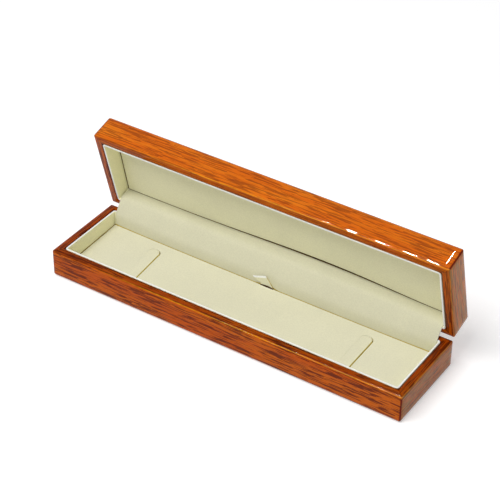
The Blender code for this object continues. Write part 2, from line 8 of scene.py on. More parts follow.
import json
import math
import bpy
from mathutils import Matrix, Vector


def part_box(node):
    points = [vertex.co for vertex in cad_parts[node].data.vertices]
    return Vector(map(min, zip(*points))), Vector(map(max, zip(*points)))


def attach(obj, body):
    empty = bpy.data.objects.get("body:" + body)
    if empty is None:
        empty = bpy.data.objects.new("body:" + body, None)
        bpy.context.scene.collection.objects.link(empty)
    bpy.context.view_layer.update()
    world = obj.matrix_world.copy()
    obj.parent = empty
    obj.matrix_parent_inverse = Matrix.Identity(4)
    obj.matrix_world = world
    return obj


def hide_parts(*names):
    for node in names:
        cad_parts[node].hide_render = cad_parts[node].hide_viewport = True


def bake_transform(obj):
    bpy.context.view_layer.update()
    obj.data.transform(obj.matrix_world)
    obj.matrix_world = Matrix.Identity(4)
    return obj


bl_info = {
    "name": "Watch Box",
    "version": (1, 0, 0),
    "blender": (4, 5, 0),
    "location": "View3D > Sidebar > Watch Box",
    "description": "Dresses a slim wooden watch box and sets up its studio",
    "category": "Object",
}

import bmesh
import bpy
from bpy.props import FloatProperty, FloatVectorProperty, PointerProperty
from bpy.types import Operator, Panel, PropertyGroup
from mathutils import Matrix, Vector

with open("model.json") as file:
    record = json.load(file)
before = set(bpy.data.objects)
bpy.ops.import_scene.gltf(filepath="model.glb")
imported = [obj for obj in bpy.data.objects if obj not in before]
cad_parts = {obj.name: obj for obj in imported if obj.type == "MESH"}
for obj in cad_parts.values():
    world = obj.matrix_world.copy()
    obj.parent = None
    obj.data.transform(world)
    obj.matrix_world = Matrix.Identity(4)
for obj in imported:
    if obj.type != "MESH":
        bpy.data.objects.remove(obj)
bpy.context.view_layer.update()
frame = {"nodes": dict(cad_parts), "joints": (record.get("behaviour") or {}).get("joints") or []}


def lid_swing():
    """The turn that takes a closed lid to the open one of the frame."""
    hinge = next(joint for joint in frame["joints"] if joint["name"] == "lid_hinge")
    place = Vector(hinge["pos_m"])
    angle = math.radians(hinge["range_deg"][1] - hinge["range_deg"][0])
    turn = Matrix.Rotation(angle, 4, Vector(hinge["axis"]))
    return Matrix.Translation(place) @ turn @ Matrix.Translation(-place)


SWING = lid_swing()


def box_round(points):
    """Lowest and highest corner of some points."""
    low = Vector(min(point[axis] for point in points) for axis in range(3))
    high = Vector(max(point[axis] for point in points) for axis in range(3))
    return low, high


def closed_box(*nodes):
    """Lowest and highest corner of lid nodes, as they lie when the lid is closed."""
    back = SWING.inverted()
    return box_round([back @ vertex.co for node in nodes for vertex in frame["nodes"][node].data.vertices])


# Settings


def number(name, value, about, **settings):
    return FloatProperty(name=name, description=about, default=value, **settings)


def length(name, value, about):
    return number(name, value, about, min=0, precision=5, unit="LENGTH", subtype="DISTANCE")


def share(name, value, about):
    return number(name, value, about, min=0, max=1, subtype="FACTOR")


def angle(name, degrees, about):
    return number(name, math.radians(degrees), about, unit="ROTATION", subtype="ANGLE")


def power(name, value, about):
    return number(name, value, about, min=0, unit="POWER")


def colour(name, value, about):
    return FloatVectorProperty(
        name=name, description=about, default=value, size=3, min=0, max=1, subtype="COLOR"
    )


class WatchBoxWood(PropertyGroup):
    light_tone: colour("Light tone", (0.78, 0.194, 0.009), "Lightest bands of the veneer")
    middle_tone: colour("Middle tone", (0.70, 0.138, 0.006), "Main colour of the veneer")
    dark_tone: colour("Dark tone", (0.13, 0.018, 0.005), "Dark streaks of the veneer")
    pore_tone: colour("Pores", (0.03, 0.010, 0.004), "Short dark pores")
    # Painted reflection: greyish streaks that stand in for the pale floor mirrored in the ends' lacquer, laid
    # over the veneer's own mottling
    painted_haze_tone: colour("Hazy streaks", (0.33, 0.165, 0.028), "Dull streaks along the case's ends")
    rim_tone: colour("Rims", (0.66, 0.58, 0.60), "How the solid wood of the rims deepens the veneer")
    # Painted shade: dark lines laid along the case's outer edges
    edge_shade_tone: colour("Outer edges", (0.16, 0.007, 0.002), "Lacquer lying thick round the outer edges")
    # Painted highlight: a golden line laid along the rims' edges
    rim_highlight_tone: colour("Rim edges", (0.95, 0.40, 0.012), "Where the rims' edges are polished thin")
    # Painted shade: a dark band on the rims' inner edges beside the linings, and the dark end of the rims'
    # painted light
    mouth_shade_tone: colour("Rims' inner edges", (0.05, 0.004, 0.002), "Stain gathered beside the linings")
    base_depth: colour("Base's depth", (0.72, 0.59, 0.38), "How much darker the base's veneer is")
    lid_streaks: share("Lid streaks", 0.54, "How strongly the dark streaks of the lid show")
    base_streaks: share("Base streaks", 0.84, "How strongly the dark streaks of the base show")
    pores: share("Pores", 0.7, "How strongly the pores show")
    edge_width: length("Edge width", 0.0012, "How far the edges' lines reach")
    gloss: share("Gloss", 0.09, "Strength of the lacquer's mirror")
    gloss_roughness: share("Gloss roughness", 0.03, "Haze in the lacquer's mirror")
    edge_fall: length("Edge fall", 0.00050, "How far the lacquer falls away towards an edge")
    edge_reach: length("Edge reach", 0.006, "How far from an edge the lacquer starts to fall away")


class WatchBoxLining(PropertyGroup):
    pad_tone: colour("Strap pad", (0.77, 0.75, 0.575), "Leatherette on the strap pad")
    lid_tone: colour("Lid pad", (0.87, 0.85, 0.605), "Leatherette on the lid's pad")
    flap_tone: colour("Flap", (0.68, 0.66, 0.49), "Leatherette of the hinge flap")
    # Partly painted light: the linings' leatherette is set lighter than the pads' to brighten the upright
    # linings, which take less light
    wall_tone_with_painted_light: colour("Wall linings", (1.0, 0.97, 0.66), "Leatherette of the wall linings")
    # White of the cut edges, also used as a painted highlight along the ribbon's fold
    cut_and_highlight_tone: colour("Cut edges", (0.97, 0.97, 0.96), "White core at the sheets' cut edges")
    ribbon_tone: colour("Pull ribbon", (0.80, 0.78, 0.57), "Satin of the pull ribbon")
    # Painted shade: a dark yellow line on the flap where it meets the strap pad, and on the ribbon's sides
    crease_shade_tone: colour("Crease", (0.58, 0.43, 0.05), "Where the flap meets the strap pad")
    # Painted shade: the tongues' walls below the pad's face darkened to an olive yellow
    slit_shade_tone: colour("Slits", (0.78, 0.62, 0.10), "Turned-in leatherette beside the tongues")
    # Painted shade: the base's linings darkened in the gap beside the strap pad
    gap_shade_tone: colour("Gaps in the base", (0.50, 0.36, 0.05), "Backing seen beside the strap pad")
    # Painted shade: the flap and the lid's linings darkened in the gaps beside the lid's pad
    lid_gap_shade_tone: colour("Gaps in the lid", (0.20, 0.100, 0.014), "Backing seen beside the lid's pad")
    # Painted shade: the ribbon's foot darkened where it goes into its slot
    hole_shade_tone: colour("Ribbon's hole", (0.07, 0.022, 0.004), "Depth of the hole that the ribbon comes out of")
    foam_tone: colour("Foam", (0.30, 0.28, 0.20), "Foam bed under the strap pad")
    crown: length("Crown", 0.0004, "How far the pads swell at their middle")
    edge_radius: length("Edge radius", 0.0004, "Rounding of the pads' edges")
    slit_radius: length("Slit radius", 0.0006, "Rounding of the edges beside the tongues' slits")
    grain_size: length("Grain", 0.00034, "Size of the leatherette's grain")


class WatchBoxFittings(PropertyGroup):
    brass_tone: colour("Brass", (0.80, 0.56, 0.22), "Hinge leaves and screws")
    steel_tone: colour("Steel", (0.56, 0.56, 0.57), "Hinge pins")
    felt_tone: colour("Felt", (0.10, 0.045, 0.028), "Felt under the base")


class WatchBoxStudio(PropertyGroup):
    floor_tone: colour("Floor", (0.82, 0.82, 0.82), "Paper that the box stands on")
    sky: number("Sky", 0.40, "Level light from all round", min=0)
    key: power("Softbox", 17.0, "Power of the large soft lamp")
    glints: power("Glints", 0.013, "Power of each lamp in the row")
    azimuth: angle("Azimuth", 33.029, "Camera's turn round the box, from straight in front")
    elevation: angle("Elevation", 36.241, "Camera's height angle")
    roll: angle("Roll", 0.632, "Camera's roll")
    lens: number("Lens", 124.15, "Focal length on a 36 mm sensor", min=1, unit="CAMERA")


# Meshes


def add_piece(name, mesh, body, *materials):
    """A new piece that rides on a body of the frame."""
    obj = bpy.data.objects.new(name, mesh)
    bpy.context.scene.collection.objects.link(obj)
    for material in materials:
        mesh.materials.append(material)
    if body:
        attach(obj, body)
    return obj


def mesh_from(bm, name):
    mesh = bpy.data.meshes.new(name)
    bmesh.ops.recalc_face_normals(bm, faces=bm.faces)
    bm.to_mesh(mesh)
    bm.free()
    return mesh


def apply_modifiers(obj):
    """Replaces an object's mesh by what its modifiers make of it."""
    evaluated = obj.evaluated_get(bpy.context.evaluated_depsgraph_get())
    mesh = bpy.data.meshes.new_from_object(evaluated)
    obj.modifiers.clear()
    obj.data = mesh


def thicken(obj, thickness, rim_material):
    """Gives a sheet its thickness, with a material of its own round the rim."""
    sheet = obj.modifiers.new("thickness", "SOLIDIFY")
    sheet.thickness = thickness
    sheet.offset = 0
    sheet.material_offset_rim = rim_material
    apply_modifiers(obj)


def smooth(obj, degrees):
    obj.data.shade_smooth()
    obj.data.set_sharp_from_angle(angle=math.radians(degrees))


def bridge(bm, rows, closed=False):
    """Faces between neighbouring rows of points, each face with the numbers of its row and column."""
    for row, (near, far) in enumerate(zip(rows, rows[1:])):
        for i in range(0 if closed else 1, len(near)):
            yield bm.faces.new((near[i - 1], near[i], far[i], far[i - 1])), row, i


def loft(name, rings):
    """A closed solid through rings of points."""
    bm = bmesh.new()
    made = [[bm.verts.new(point) for point in ring] for ring in rings]
    bm.faces.new(made[0])
    bm.faces.new(made[-1])
    list(bridge(bm, made, closed=True))
    return mesh_from(bm, name)


def arc(centre, radius, start, end, steps):
    """Points on an arc in the plane, both ends included, angles in radians."""
    angles = [start + (end - start) * i / steps for i in range(steps + 1)]
    return [(centre[0] + radius * math.cos(a), centre[1] + radius * math.sin(a)) for a in angles]


def rounded_path(points, radius, steps):
    """The points joined by straight runs, each inner corner replaced by an arc."""
    path = [tuple(points[0])]
    for before, point, after in zip(points, points[1:], points[2:]):
        corner = Vector(point)
        back = (Vector(before) - corner).normalized()
        ahead = (Vector(after) - corner).normalized()
        half = back.angle(ahead) / 2
        centre = corner + (back + ahead).normalized() * (radius / math.sin(half))
        start = corner + back * (radius / math.tan(half)) - centre
        end = corner + ahead * (radius / math.tan(half)) - centre
        first = math.atan2(start.y, start.x)
        turn = math.atan2(start.cross(end), start.dot(end))
        path += arc(centre, radius, first, first + turn, steps)
    path.append(tuple(points[-1]))
    return path


EDGE_STEPS = 5
BACK_EDGE_SHARPNESS = 4


def edge_places(low, high, radius, steps):
    """Places from low to high, close together near both ends and even between them."""
    near = [radius * (1 - math.cos(math.pi / 2 * i / EDGE_STEPS)) for i in range(EDGE_STEPS)]
    inner = [low + radius + (high - low - 2 * radius) * i / steps for i in range(steps + 1)]
    return [low + d for d in near] + inner + [high - d for d in reversed(near)]


def round_corner(x, y, half, front, back, radius):
    """Draws a point of a rectangle in to the arc at its corner."""
    end = -1 if y < (front + back) / 2 else 1
    centre_x = math.copysign(half - radius, x)
    centre_y = front + radius if end < 0 else back - radius
    out_x = (x - centre_x) * (1 if x > 0 else -1)
    out_y = (y - centre_y) * end
    if out_x <= 0 or out_y <= 0:
        return x, y
    scale = max(out_x, out_y) / math.hypot(out_x, out_y)
    return centre_x + (x - centre_x) * scale, centre_y + (y - centre_y) * scale


def pad_mesh(name, half, front, back_at, bottom_at, top_at, radius, columns, rows):
    """A padded board: a grid in plan, its top face rounded off at the edges, its back edge bowed."""
    depth = back_at(0) - front
    shares = [(y - front) / depth for y in edge_places(front, back_at(0), radius, rows)]
    bm = bmesh.new()
    top = []
    for x in edge_places(-half, half, radius, columns):
        back = back_at(x)
        ys = [front + (back - front) * part for part in shares]
        top.append([bm.verts.new((*round_corner(x, y, half, front, back, radius * 2), 0)) for y in ys])
    for vertex in bm.verts:
        x, y = vertex.co.xy
        near = min(half - abs(x), y - front, BACK_EDGE_SHARPNESS * (back_at(x) - y))
        off_arc = radius - min(max(near, 0), radius)
        vertex.co.z = top_at(x, y) - radius + math.sqrt(max(radius**2 - off_arc**2, 0))
    for near, far in zip(top, top[1:]):
        for i in range(len(near) - 1):
            bm.faces.new((near[i], far[i], far[i + 1], near[i + 1]))
    rim = [edge for edge in bm.edges if edge.is_boundary]
    walls = bmesh.ops.extrude_edge_only(bm, edges=rim)["geom"]
    for item in walls:
        if isinstance(item, bmesh.types.BMVert):
            item.co.z = bottom_at(item.co.x, item.co.y)
    foot = [item for item in walls if isinstance(item, bmesh.types.BMEdge)]
    bmesh.ops.contextual_create(bm, geom=foot)
    return mesh_from(bm, name)


def subtract(obj, cutter_mesh):
    """Cuts a solid out of a piece for good."""
    cutter = bpy.data.objects.new("cutter", cutter_mesh)
    bpy.context.scene.collection.objects.link(cutter)
    cut = obj.modifiers.new("cut", "BOOLEAN")
    cut.operation = "DIFFERENCE"
    cut.solver = "EXACT"
    cut.object = cutter
    apply_modifiers(obj)
    bpy.data.objects.remove(cutter)


# Forms that neighbouring soft pieces share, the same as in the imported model

PAD_SLOPE = 0.035
LID_PAD_SLOPE = 0.035
LID_EDGE_DROP = 0.0004
PAD_TO_FLAP = 0.0003
LID_PAD_TO_FLAP = 0.0008
FLAP = 0.0007
FLAP_X = 0.1123
FLAP_Y = 0.02505
FLAP_BASE_STAND = 0.0017
FLAP_BASE_BULGE = 0.0010
FLAP_LID_STAND = 0.0004
FLAP_LID_BULGE = 0.0041
FLAP_END_POWER = 4
FLAP_SKEW_POWER = 1.52
RIBBON_DENT = 0.0015
RIBBON_DENT_HALF = 0.0090


def flap_shares(x):
    """How full the flap's swelling is at x, in the base and in the lid."""
    along = min(max((x + FLAP_X) / (2 * FLAP_X), 0), 1)
    return 1 - abs(2 * along - 1) ** FLAP_END_POWER, math.sin(math.pi * along**FLAP_SKEW_POWER) ** 2


def flap_in_base(x):
    """The flap's middle where it stands behind the strap pad, pressed back by the ribbon."""
    dent = RIBBON_DENT * max(1 - (x / RIBBON_DENT_HALF) ** 2, 0) ** 2
    return FLAP_Y - FLAP_BASE_STAND - FLAP_BASE_BULGE * flap_shares(x)[0] + dent


def pad_back(x):
    """The strap pad's back edge, bowed as the flap is."""
    return FLAP_Y - FLAP / 2 - FLAP_BASE_STAND - FLAP_BASE_BULGE * flap_shares(x)[0] - PAD_TO_FLAP


def lid_pad_back(x):
    return FLAP_Y - FLAP / 2 - FLAP_LID_STAND - FLAP_LID_BULGE * flap_shares(x)[1] - LID_PAD_TO_FLAP


def strap_pad_face():
    """The plane of the strap pad's face, as the group of hidden depths takes it."""
    return {"Level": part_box("strap_pad")[1].z - PAD_SLOPE * pad_back(0), "Slope": PAD_SLOPE, "Side": 1.0}


def lid_pad_face():
    """The same of the lid's pad, closed, at its edges."""
    level = closed_box("lid_pad")[0].z + LID_PAD_SLOPE * lid_pad_back(0) + LID_EDGE_DROP
    return {"Level": level, "Slope": -LID_PAD_SLOPE, "Side": -1.0}


# Shader helpers

WHITE = (1, 1, 1, 1)


class Tree:
    """Short ways to place and join the nodes of one material or group."""

    def __init__(self, tree):
        self.tree = tree
        self.count = 0

    def add(self, kind, inputs=None, **settings):
        node = self.tree.nodes.new(kind)
        node.location = (220 * (self.count % 8), -260 * (self.count // 8))
        self.count += 1
        for key, value in settings.items():
            setattr(node, key, value)
        for key, value in (inputs or {}).items():
            self.put(value, node.inputs[key])
        return node

    def put(self, value, socket):
        if isinstance(value, bpy.types.NodeSocket):
            self.tree.links.new(value, socket)
        elif hasattr(value, "__len__") and socket.type == "RGBA" and len(value) == 3:
            socket.default_value = (*value, 1)
        else:
            socket.default_value = value

    def math(self, operation, *values, kind="ShaderNodeMath"):
        return self.add(kind, dict(enumerate(values)), operation=operation).outputs[0]

    def vector_math(self, operation, *values):
        return self.math(operation, *values, kind="ShaderNodeVectorMath")

    def parts(self, vector):
        return self.add("ShaderNodeSeparateXYZ", {0: vector}).outputs

    def mix(self, factor, first, second, blend="MIX"):
        inputs = {"Factor": factor, "A": first, "B": second}
        return self.add("ShaderNodeMix", inputs, data_type="RGBA", blend_type=blend).outputs["Result"]

    def ramp(self, value, low, high, to_low=0.0, to_high=1.0):
        """Rises softly from to_low at low to to_high at high."""
        inputs = {"Value": value, "From Min": low, "From Max": high, "To Min": to_low, "To Max": to_high}
        return self.add("ShaderNodeMapRange", inputs, interpolation_type="SMOOTHSTEP").outputs["Result"]

    def fade(self, value, low, high):
        """Falls softly from 1 at low to 0 at high."""
        return self.math("SUBTRACT", 1.0, self.ramp(value, low, high))

    def noise(self, vector, scale, detail=2.0, roughness=0.5, shift=(0, 0, 0)):
        """Noise with a scale for each axis, or one for all."""
        if isinstance(scale, tuple):
            inputs = {"Vector": vector, "Scale": scale, "Location": shift}
            vector = self.add("ShaderNodeMapping", inputs).outputs[0]
            scale = 1.0
        inputs = {"Vector": vector, "Scale": scale, "Detail": detail, "Roughness": roughness}
        return self.add("ShaderNodeTexNoise", inputs).outputs["Fac"]

    def group(self, tree, **inputs):
        given = {key.replace("_", " "): value for key, value in inputs.items()}
        return self.add("ShaderNodeGroup", given, node_tree=tree).outputs


def shader_group(name, vectors, outputs, colours=(), numbers=()):
    """Turns a function that fills a group into one that returns it, made when it is first asked for."""

    def made_once(fill):
        def group():
            if name in bpy.data.node_groups:
                return bpy.data.node_groups[name]
            tree = bpy.data.node_groups.new(name, "ShaderNodeTree")
            sockets = [(label, "NodeSocketVector") for label in vectors]
            sockets += [(label, "NodeSocketColor") for label in colours]
            sockets += [(label, "NodeSocketFloat") for label in numbers]
            for label, kind in sockets:
                tree.interface.new_socket(name=label, in_out="INPUT", socket_type=kind)
            for label in outputs:
                kind = "NodeSocketColor" if label == "Color" else "NodeSocketFloat"
                tree.interface.new_socket(name=label, in_out="OUTPUT", socket_type=kind)
            nodes = Tree(tree)
            fill(nodes, nodes.add("NodeGroupInput").outputs, nodes.add("NodeGroupOutput").inputs)
            return tree

        return group

    return made_once


@shader_group(
    "red wood grain", vectors=("Vector",), colours=("Light", "Middle", "Dark", "Pore"),
    numbers=("Streaks", "Pores"), outputs=("Color", "Height"),
)
def red_wood_grain(nodes, given, out):
    """Figure, streaks, fibres and pores of the red veneer, along the vector's X."""
    vector = given["Vector"]
    figure = nodes.noise(vector, (16, 190, 190), 3.0, 0.55)
    streak = nodes.noise(vector, (34, 1050, 1050), shift=(3.1, 0, 0))
    dash = nodes.noise(vector, (90, 1500, 1500), 1.0, shift=(0, 2.7, 1.3))
    fine = nodes.noise(vector, (150, 2900, 2900), 2.0, 0.6, (0, 7.3, 0))
    pore = nodes.noise(vector, (170, 1500, 1500), 1.0, shift=(0, 0, 5.7))
    base = nodes.mix(nodes.ramp(figure, 0.36, 0.62), given["Middle"], given["Light"])
    streaked = nodes.math("MAXIMUM", nodes.ramp(streak, 0.56, 0.60), nodes.ramp(dash, 0.55, 0.60))
    dark = nodes.mix(nodes.math("MULTIPLY", streaked, given["Streaks"]), base, given["Dark"])
    fibre = nodes.mix(nodes.math("MULTIPLY", nodes.ramp(fine, 0.46, 0.72), 0.3), dark, given["Dark"])
    holes = nodes.math("MULTIPLY", nodes.ramp(pore, 0.735, 0.775), given["Pores"])
    nodes.put(nodes.mix(holes, fibre, given["Pore"]), out["Color"])
    nodes.put(nodes.math("SUBTRACT", nodes.math("MULTIPLY", fine, 0.3), holes), out["Height"])


@shader_group(
    "case places", vectors=("Vector", "Centre", "Outer", "Mouth"), numbers=("Rim", "Width", "Reach"),
    outputs=("Edge", "Rim", "Rim Edge", "Mouth", "Fall"),
)
def case_places(nodes, given, out):
    """Where a point lies on half a case: masks for its edges and rim, and the lacquer's fall to the edges."""
    off_centre = nodes.vector_math("SUBTRACT", given["Vector"], given["Centre"])
    off_centre = nodes.vector_math("ABSOLUTE", off_centre)
    inside = nodes.parts(nodes.vector_math("SUBTRACT", given["Outer"], off_centre))
    beyond = nodes.parts(nodes.vector_math("SUBTRACT", off_centre, given["Mouth"]))
    least = nodes.math("MINIMUM", inside[0], inside[1])
    most = nodes.math("MAXIMUM", inside[0], inside[1])
    second = nodes.math("MAXIMUM", least, nodes.math("MINIMUM", most, inside[2]))
    height = nodes.parts(given["Vector"])[2]
    off_rim = nodes.math("ABSOLUTE", nodes.math("SUBTRACT", height, given["Rim"]))
    ragged = nodes.noise(given["Vector"], (260, 260, 260), 2.0, 0.6)
    limit = nodes.math("MULTIPLY", given["Width"], nodes.math("ADD", 0.5, ragged))
    near_rim = nodes.fade(off_rim, 0.0008, 0.0016)
    outer = nodes.fade(second, nodes.math("MULTIPLY", limit, 0.4), limit)
    thin = nodes.fade(second, 0.0, nodes.math("MULTIPLY", limit, 0.6))
    inner = nodes.fade(nodes.math("MAXIMUM", beyond[0], beyond[1]), 0.0003, 0.0011)
    nodes.put(nodes.math("MULTIPLY", outer, nodes.math("SUBTRACT", 1.0, near_rim)), out["Edge"])
    nodes.put(nodes.math("MULTIPLY", thin, near_rim), out["Rim Edge"])
    nodes.put(nodes.fade(off_rim, 0.0001, 0.0004), out["Rim"])
    nodes.put(nodes.math("MULTIPLY", inner, near_rim), out["Mouth"])
    away = nodes.math("MINIMUM", nodes.math("DIVIDE", second, given["Reach"]), 1.0)
    left_over = nodes.math("POWER", nodes.math("SUBTRACT", 1.0, away), 3.0)
    nodes.put(nodes.math("SUBTRACT", 1.0, left_over), out["Fall"])


@shader_group(
    "leatherette grain", vectors=("Vector",), colours=("Color",), numbers=("Size",),
    outputs=("Color", "Height"),
)
def leather_grain(nodes, given, out):
    """Fine pebbled leatherette: a height, and a faint change of tone."""
    scale = nodes.math("DIVIDE", 1.0, given["Size"])
    pebbles = {"Vector": given["Vector"], "Scale": scale, "Smoothness": 0.6}
    cells = nodes.add("ShaderNodeTexVoronoi", pebbles, feature="SMOOTH_F1").outputs["Distance"]
    slow = nodes.noise(given["Vector"], 38.0, 3.0, 0.55)
    speck = nodes.noise(given["Vector"], 1300.0, 2.0, 0.6)
    shade = nodes.ramp(slow, 0.3, 0.7, 0.965, 1.0)
    shade = nodes.math("MULTIPLY", shade, nodes.ramp(speck, 0.3, 0.7, 0.93, 1.0))
    tone = nodes.add("ShaderNodeHueSaturation", {"Color": given["Color"], "Value": shade})
    nodes.put(tone.outputs[0], out["Color"])
    nodes.put(nodes.math("ADD", cells, nodes.math("MULTIPLY", speck, 0.4)), out["Height"])


@shader_group(
    "hidden depth", vectors=("Vector",), numbers=("Level", "Slope", "Side", "Start", "Full"),
    outputs=("Mask",),
)
def hidden_depth(nodes, given, out):
    """How far a point lies behind a pad's sloping face, as a mask between two depths."""
    place = nodes.parts(given["Vector"])
    face = nodes.math("MULTIPLY_ADD", place[1], given["Slope"], given["Level"])
    depth = nodes.math("MULTIPLY", nodes.math("SUBTRACT", face, place[2]), given["Side"])
    nodes.put(nodes.ramp(depth, given["Start"], given["Full"]), out["Mask"])


# Materials


def new_material(name):
    """A material with its helper, its Principled shader and the object's coordinates."""
    material = bpy.data.materials.new(name)
    material.use_nodes = True
    shader = material.node_tree.nodes["Principled BSDF"]
    shader.location = (1400, 300)
    material.node_tree.nodes["Material Output"].location = (1700, 300)
    nodes = Tree(material.node_tree)
    return material, nodes, shader, nodes.add("ShaderNodeTexCoord").outputs["Object"]


def raised(nodes, height, strength, distance, **more):
    """The normal of a surface raised by a height."""
    inputs = {"Strength": strength, "Distance": distance, "Height": height, **more}
    return nodes.add("ShaderNodeBump", inputs).outputs[0]


def surface(nodes, shader, tone, roughness, gloss, *relief, **more):
    """Fills in what every surface here has; a relief is its height, strength and distance."""
    nodes.put(tone, shader.inputs["Base Color"])
    nodes.put(roughness, shader.inputs["Roughness"])
    nodes.put(gloss, shader.inputs["Specular IOR Level"])
    if relief:
        nodes.put(raised(nodes, *relief, **more), shader.inputs["Normal"])


def turned_back(nodes, vector):
    """Coordinates on the open lid as they are when it is closed."""
    back = SWING.inverted()
    inputs = {"Vector": vector, "Location": back.to_translation(), "Rotation": back.to_euler()}
    return nodes.add("ShaderNodeMapping", inputs).outputs[0]


def wood_material(name, wood, swung, along_y, places, streaks):
    """Lacquered veneer of the case: swung for the lid, along_y for its ends."""
    material, nodes, shader, vector = new_material(name)
    if swung:
        vector = turned_back(nodes, vector)
    grain = vector
    if along_y:
        quarter = {"Vector": vector, "Rotation": (0, 0, math.pi / 2)}
        grain = nodes.add("ShaderNodeMapping", quarter).outputs[0]
    veneer = nodes.group(
        red_wood_grain(), Vector=grain, Light=wood.light_tone, Middle=wood.middle_tone, Dark=wood.dark_tone,
        Pore=wood.pore_tone, Streaks=streaks, Pores=wood.pores,
    )
    spots = nodes.group(case_places(), Vector=vector, Width=wood.edge_width, Reach=wood.edge_reach, **places)
    tone = veneer["Color"]
    if not swung:
        tone = nodes.mix(1.0, tone, wood.base_depth, "MULTIPLY")
    if along_y:
        # The ends' dull streaks follow the grain: partly the veneer's own mottling, partly painted reflection
        # of the pale floor
        dull = nodes.noise(grain, (60, 900, 900), 3.0, 0.6, (5.2, 1.1, 0))
        painted_haze = nodes.mix(nodes.ramp(dull, 0.38, 0.64, 0.1, 0.8), tone, wood.painted_haze_tone)
        tone = nodes.mix(spots["Rim"], painted_haze, tone)
    tone = nodes.mix(spots["Rim"], tone, nodes.mix(1.0, tone, wood.rim_tone, "MULTIPLY"))
    # Painted shade: the outer edges darkened into dark lines
    tone = nodes.mix(nodes.math("MULTIPLY", spots["Edge"], 0.92), tone, wood.edge_shade_tone)
    # Painted light on the rims' edges: painted shade at the left end, turning into a painted golden highlight
    # towards the right, weaker on the case's ends
    across = nodes.parts(vector)[0]
    highlighted = nodes.mix(nodes.ramp(across, -0.100, -0.030), wood.mouth_shade_tone, wood.rim_highlight_tone)
    reach = 0.3 if along_y else 0.85
    tone = nodes.mix(nodes.math("MULTIPLY", spots["Rim Edge"], reach), tone, highlighted)
    # Painted shade on the rims' inner edges beside the linings
    tone = nodes.mix(nodes.math("MULTIPLY", spots["Mouth"], 0.95), tone, wood.mouth_shade_tone)
    fall = raised(nodes, spots["Fall"], 1.0, wood.edge_fall)
    relief = (veneer["Height"], 0.05, 0.00003)
    surface(nodes, shader, tone, wood.gloss_roughness, wood.gloss, *relief, Normal=fall)
    return material


def lining_material(name):
    """A leatherette of the lining, made once and shared by name.

    Painted shade behind a pad's face is given as: in the lid or not, two depths, a tone.
    """
    if name in bpy.data.materials:
        return bpy.data.materials[name]
    lining = bpy.context.scene.watch_box_lining
    # Painted shade in the crease under the flap, in the tongues' slits, in the gaps beside the pads and in the
    # ribbon's hole
    crease_shade = (False, -0.0009, -0.0003, lining.crease_shade_tone)
    slit = (False, 0.00005, 0.0004, lining.slit_shade_tone)
    base_gap_shade = (False, 0.0, 0.0003, lining.gap_shade_tone)
    ribbon_hole_shade = (False, -0.0006, -0.0003, lining.hole_shade_tone)
    lid_gap_shade = (True, 0.0, 0.0004, lining.lid_gap_shade_tone)
    finishes = {
        "pad leatherette": (lining.pad_tone,),
        "tongue leatherette": (lining.pad_tone, slit),
        "lid leatherette": (lining.lid_tone,),
        "flap leatherette": (lining.flap_tone, crease_shade, lid_gap_shade),
        "wall leatherette of the base": (lining.wall_tone_with_painted_light, base_gap_shade),
        "wall leatherette of the lid": (lining.wall_tone_with_painted_light, lid_gap_shade),
        "white cut edge and ribbon highlight": (lining.cut_and_highlight_tone,),
        "ribbon satin": (lining.ribbon_tone, ribbon_hole_shade),
        "shaded ribbon edge": (lining.crease_shade_tone, ribbon_hole_shade),
    }
    tone, *hidden = finishes[name]
    material, nodes, shader, vector = new_material(name)
    grain = nodes.group(leather_grain(), Vector=vector, Color=tone, Size=lining.grain_size)
    shade = grain["Color"]
    # Each painted shade is laid where its mask finds a depth behind or near a pad's face
    for in_lid, start, full, painted_shade_tone in hidden:
        place = turned_back(nodes, vector) if in_lid else vector
        face = lid_pad_face() if in_lid else strap_pad_face()
        mask = nodes.group(hidden_depth(), Vector=place, Start=start, Full=full, **face)
        shade = nodes.mix(mask["Mask"], shade, painted_shade_tone)
    surface(nodes, shader, shade, 0.65, 0.12, grain["Height"], 0.25, 0.00006)
    return material


def metal_material(name, tone, roughness):
    material, nodes, shader, vector = new_material(name)
    brushed = nodes.noise(vector, (260, 5200, 5200))
    cloudy = nodes.noise(vector, 340.0, 3.0, 0.55)
    darker = tuple(part * 0.72 for part in tone)
    rough = nodes.ramp(brushed, 0.3, 0.7, roughness - 0.07, roughness + 0.1)
    shade = nodes.mix(nodes.ramp(cloudy, 0.35, 0.7), tone, darker)
    surface(nodes, shader, shade, rough, 0.5, brushed, 0.1, 0.00002)
    shader.inputs["Metallic"].default_value = 1.0
    return material


def felt_material(tone):
    material, nodes, shader, vector = new_material("brown felt")
    pile = nodes.noise(vector, 1900.0, 3.0, 0.7)
    cloud = nodes.noise(vector, 90.0)
    lighter = tuple(part * 1.8 for part in tone)
    mixed = nodes.mix(nodes.ramp(pile, 0.35, 0.7), tone, lighter)
    shade = nodes.mix(nodes.ramp(cloud, 0.3, 0.7, 0.0, 0.25), mixed, tone)
    surface(nodes, shader, shade, 0.95, 0.1, pile, 0.6, 0.0001)
    shader.inputs["Sheen Weight"].default_value = 0.4
    return material


def foam_material(tone):
    material, nodes, shader, vector = new_material("open foam")
    cells = nodes.add("ShaderNodeTexVoronoi", {"Vector": vector, "Scale": 1900.0}).outputs["Distance"]
    dark = tuple(part * 0.45 for part in tone)
    open_cells = nodes.ramp(cells, 0.1, 0.6)
    surface(nodes, shader, nodes.mix(open_cells, dark, tone), 0.95, 0.1, open_cells, 0.6, 0.0002)
    return material


def looked_at(nodes):
    """1 where something is looked at, straight or in a mirror, and 0 where it only gives light."""
    path = nodes.add("ShaderNodeLightPath").outputs
    seen = nodes.math("MAXIMUM", path["Is Camera Ray"], path["Is Glossy Ray"])
    return nodes.math("MAXIMUM", seen, path["Is Transmission Ray"])


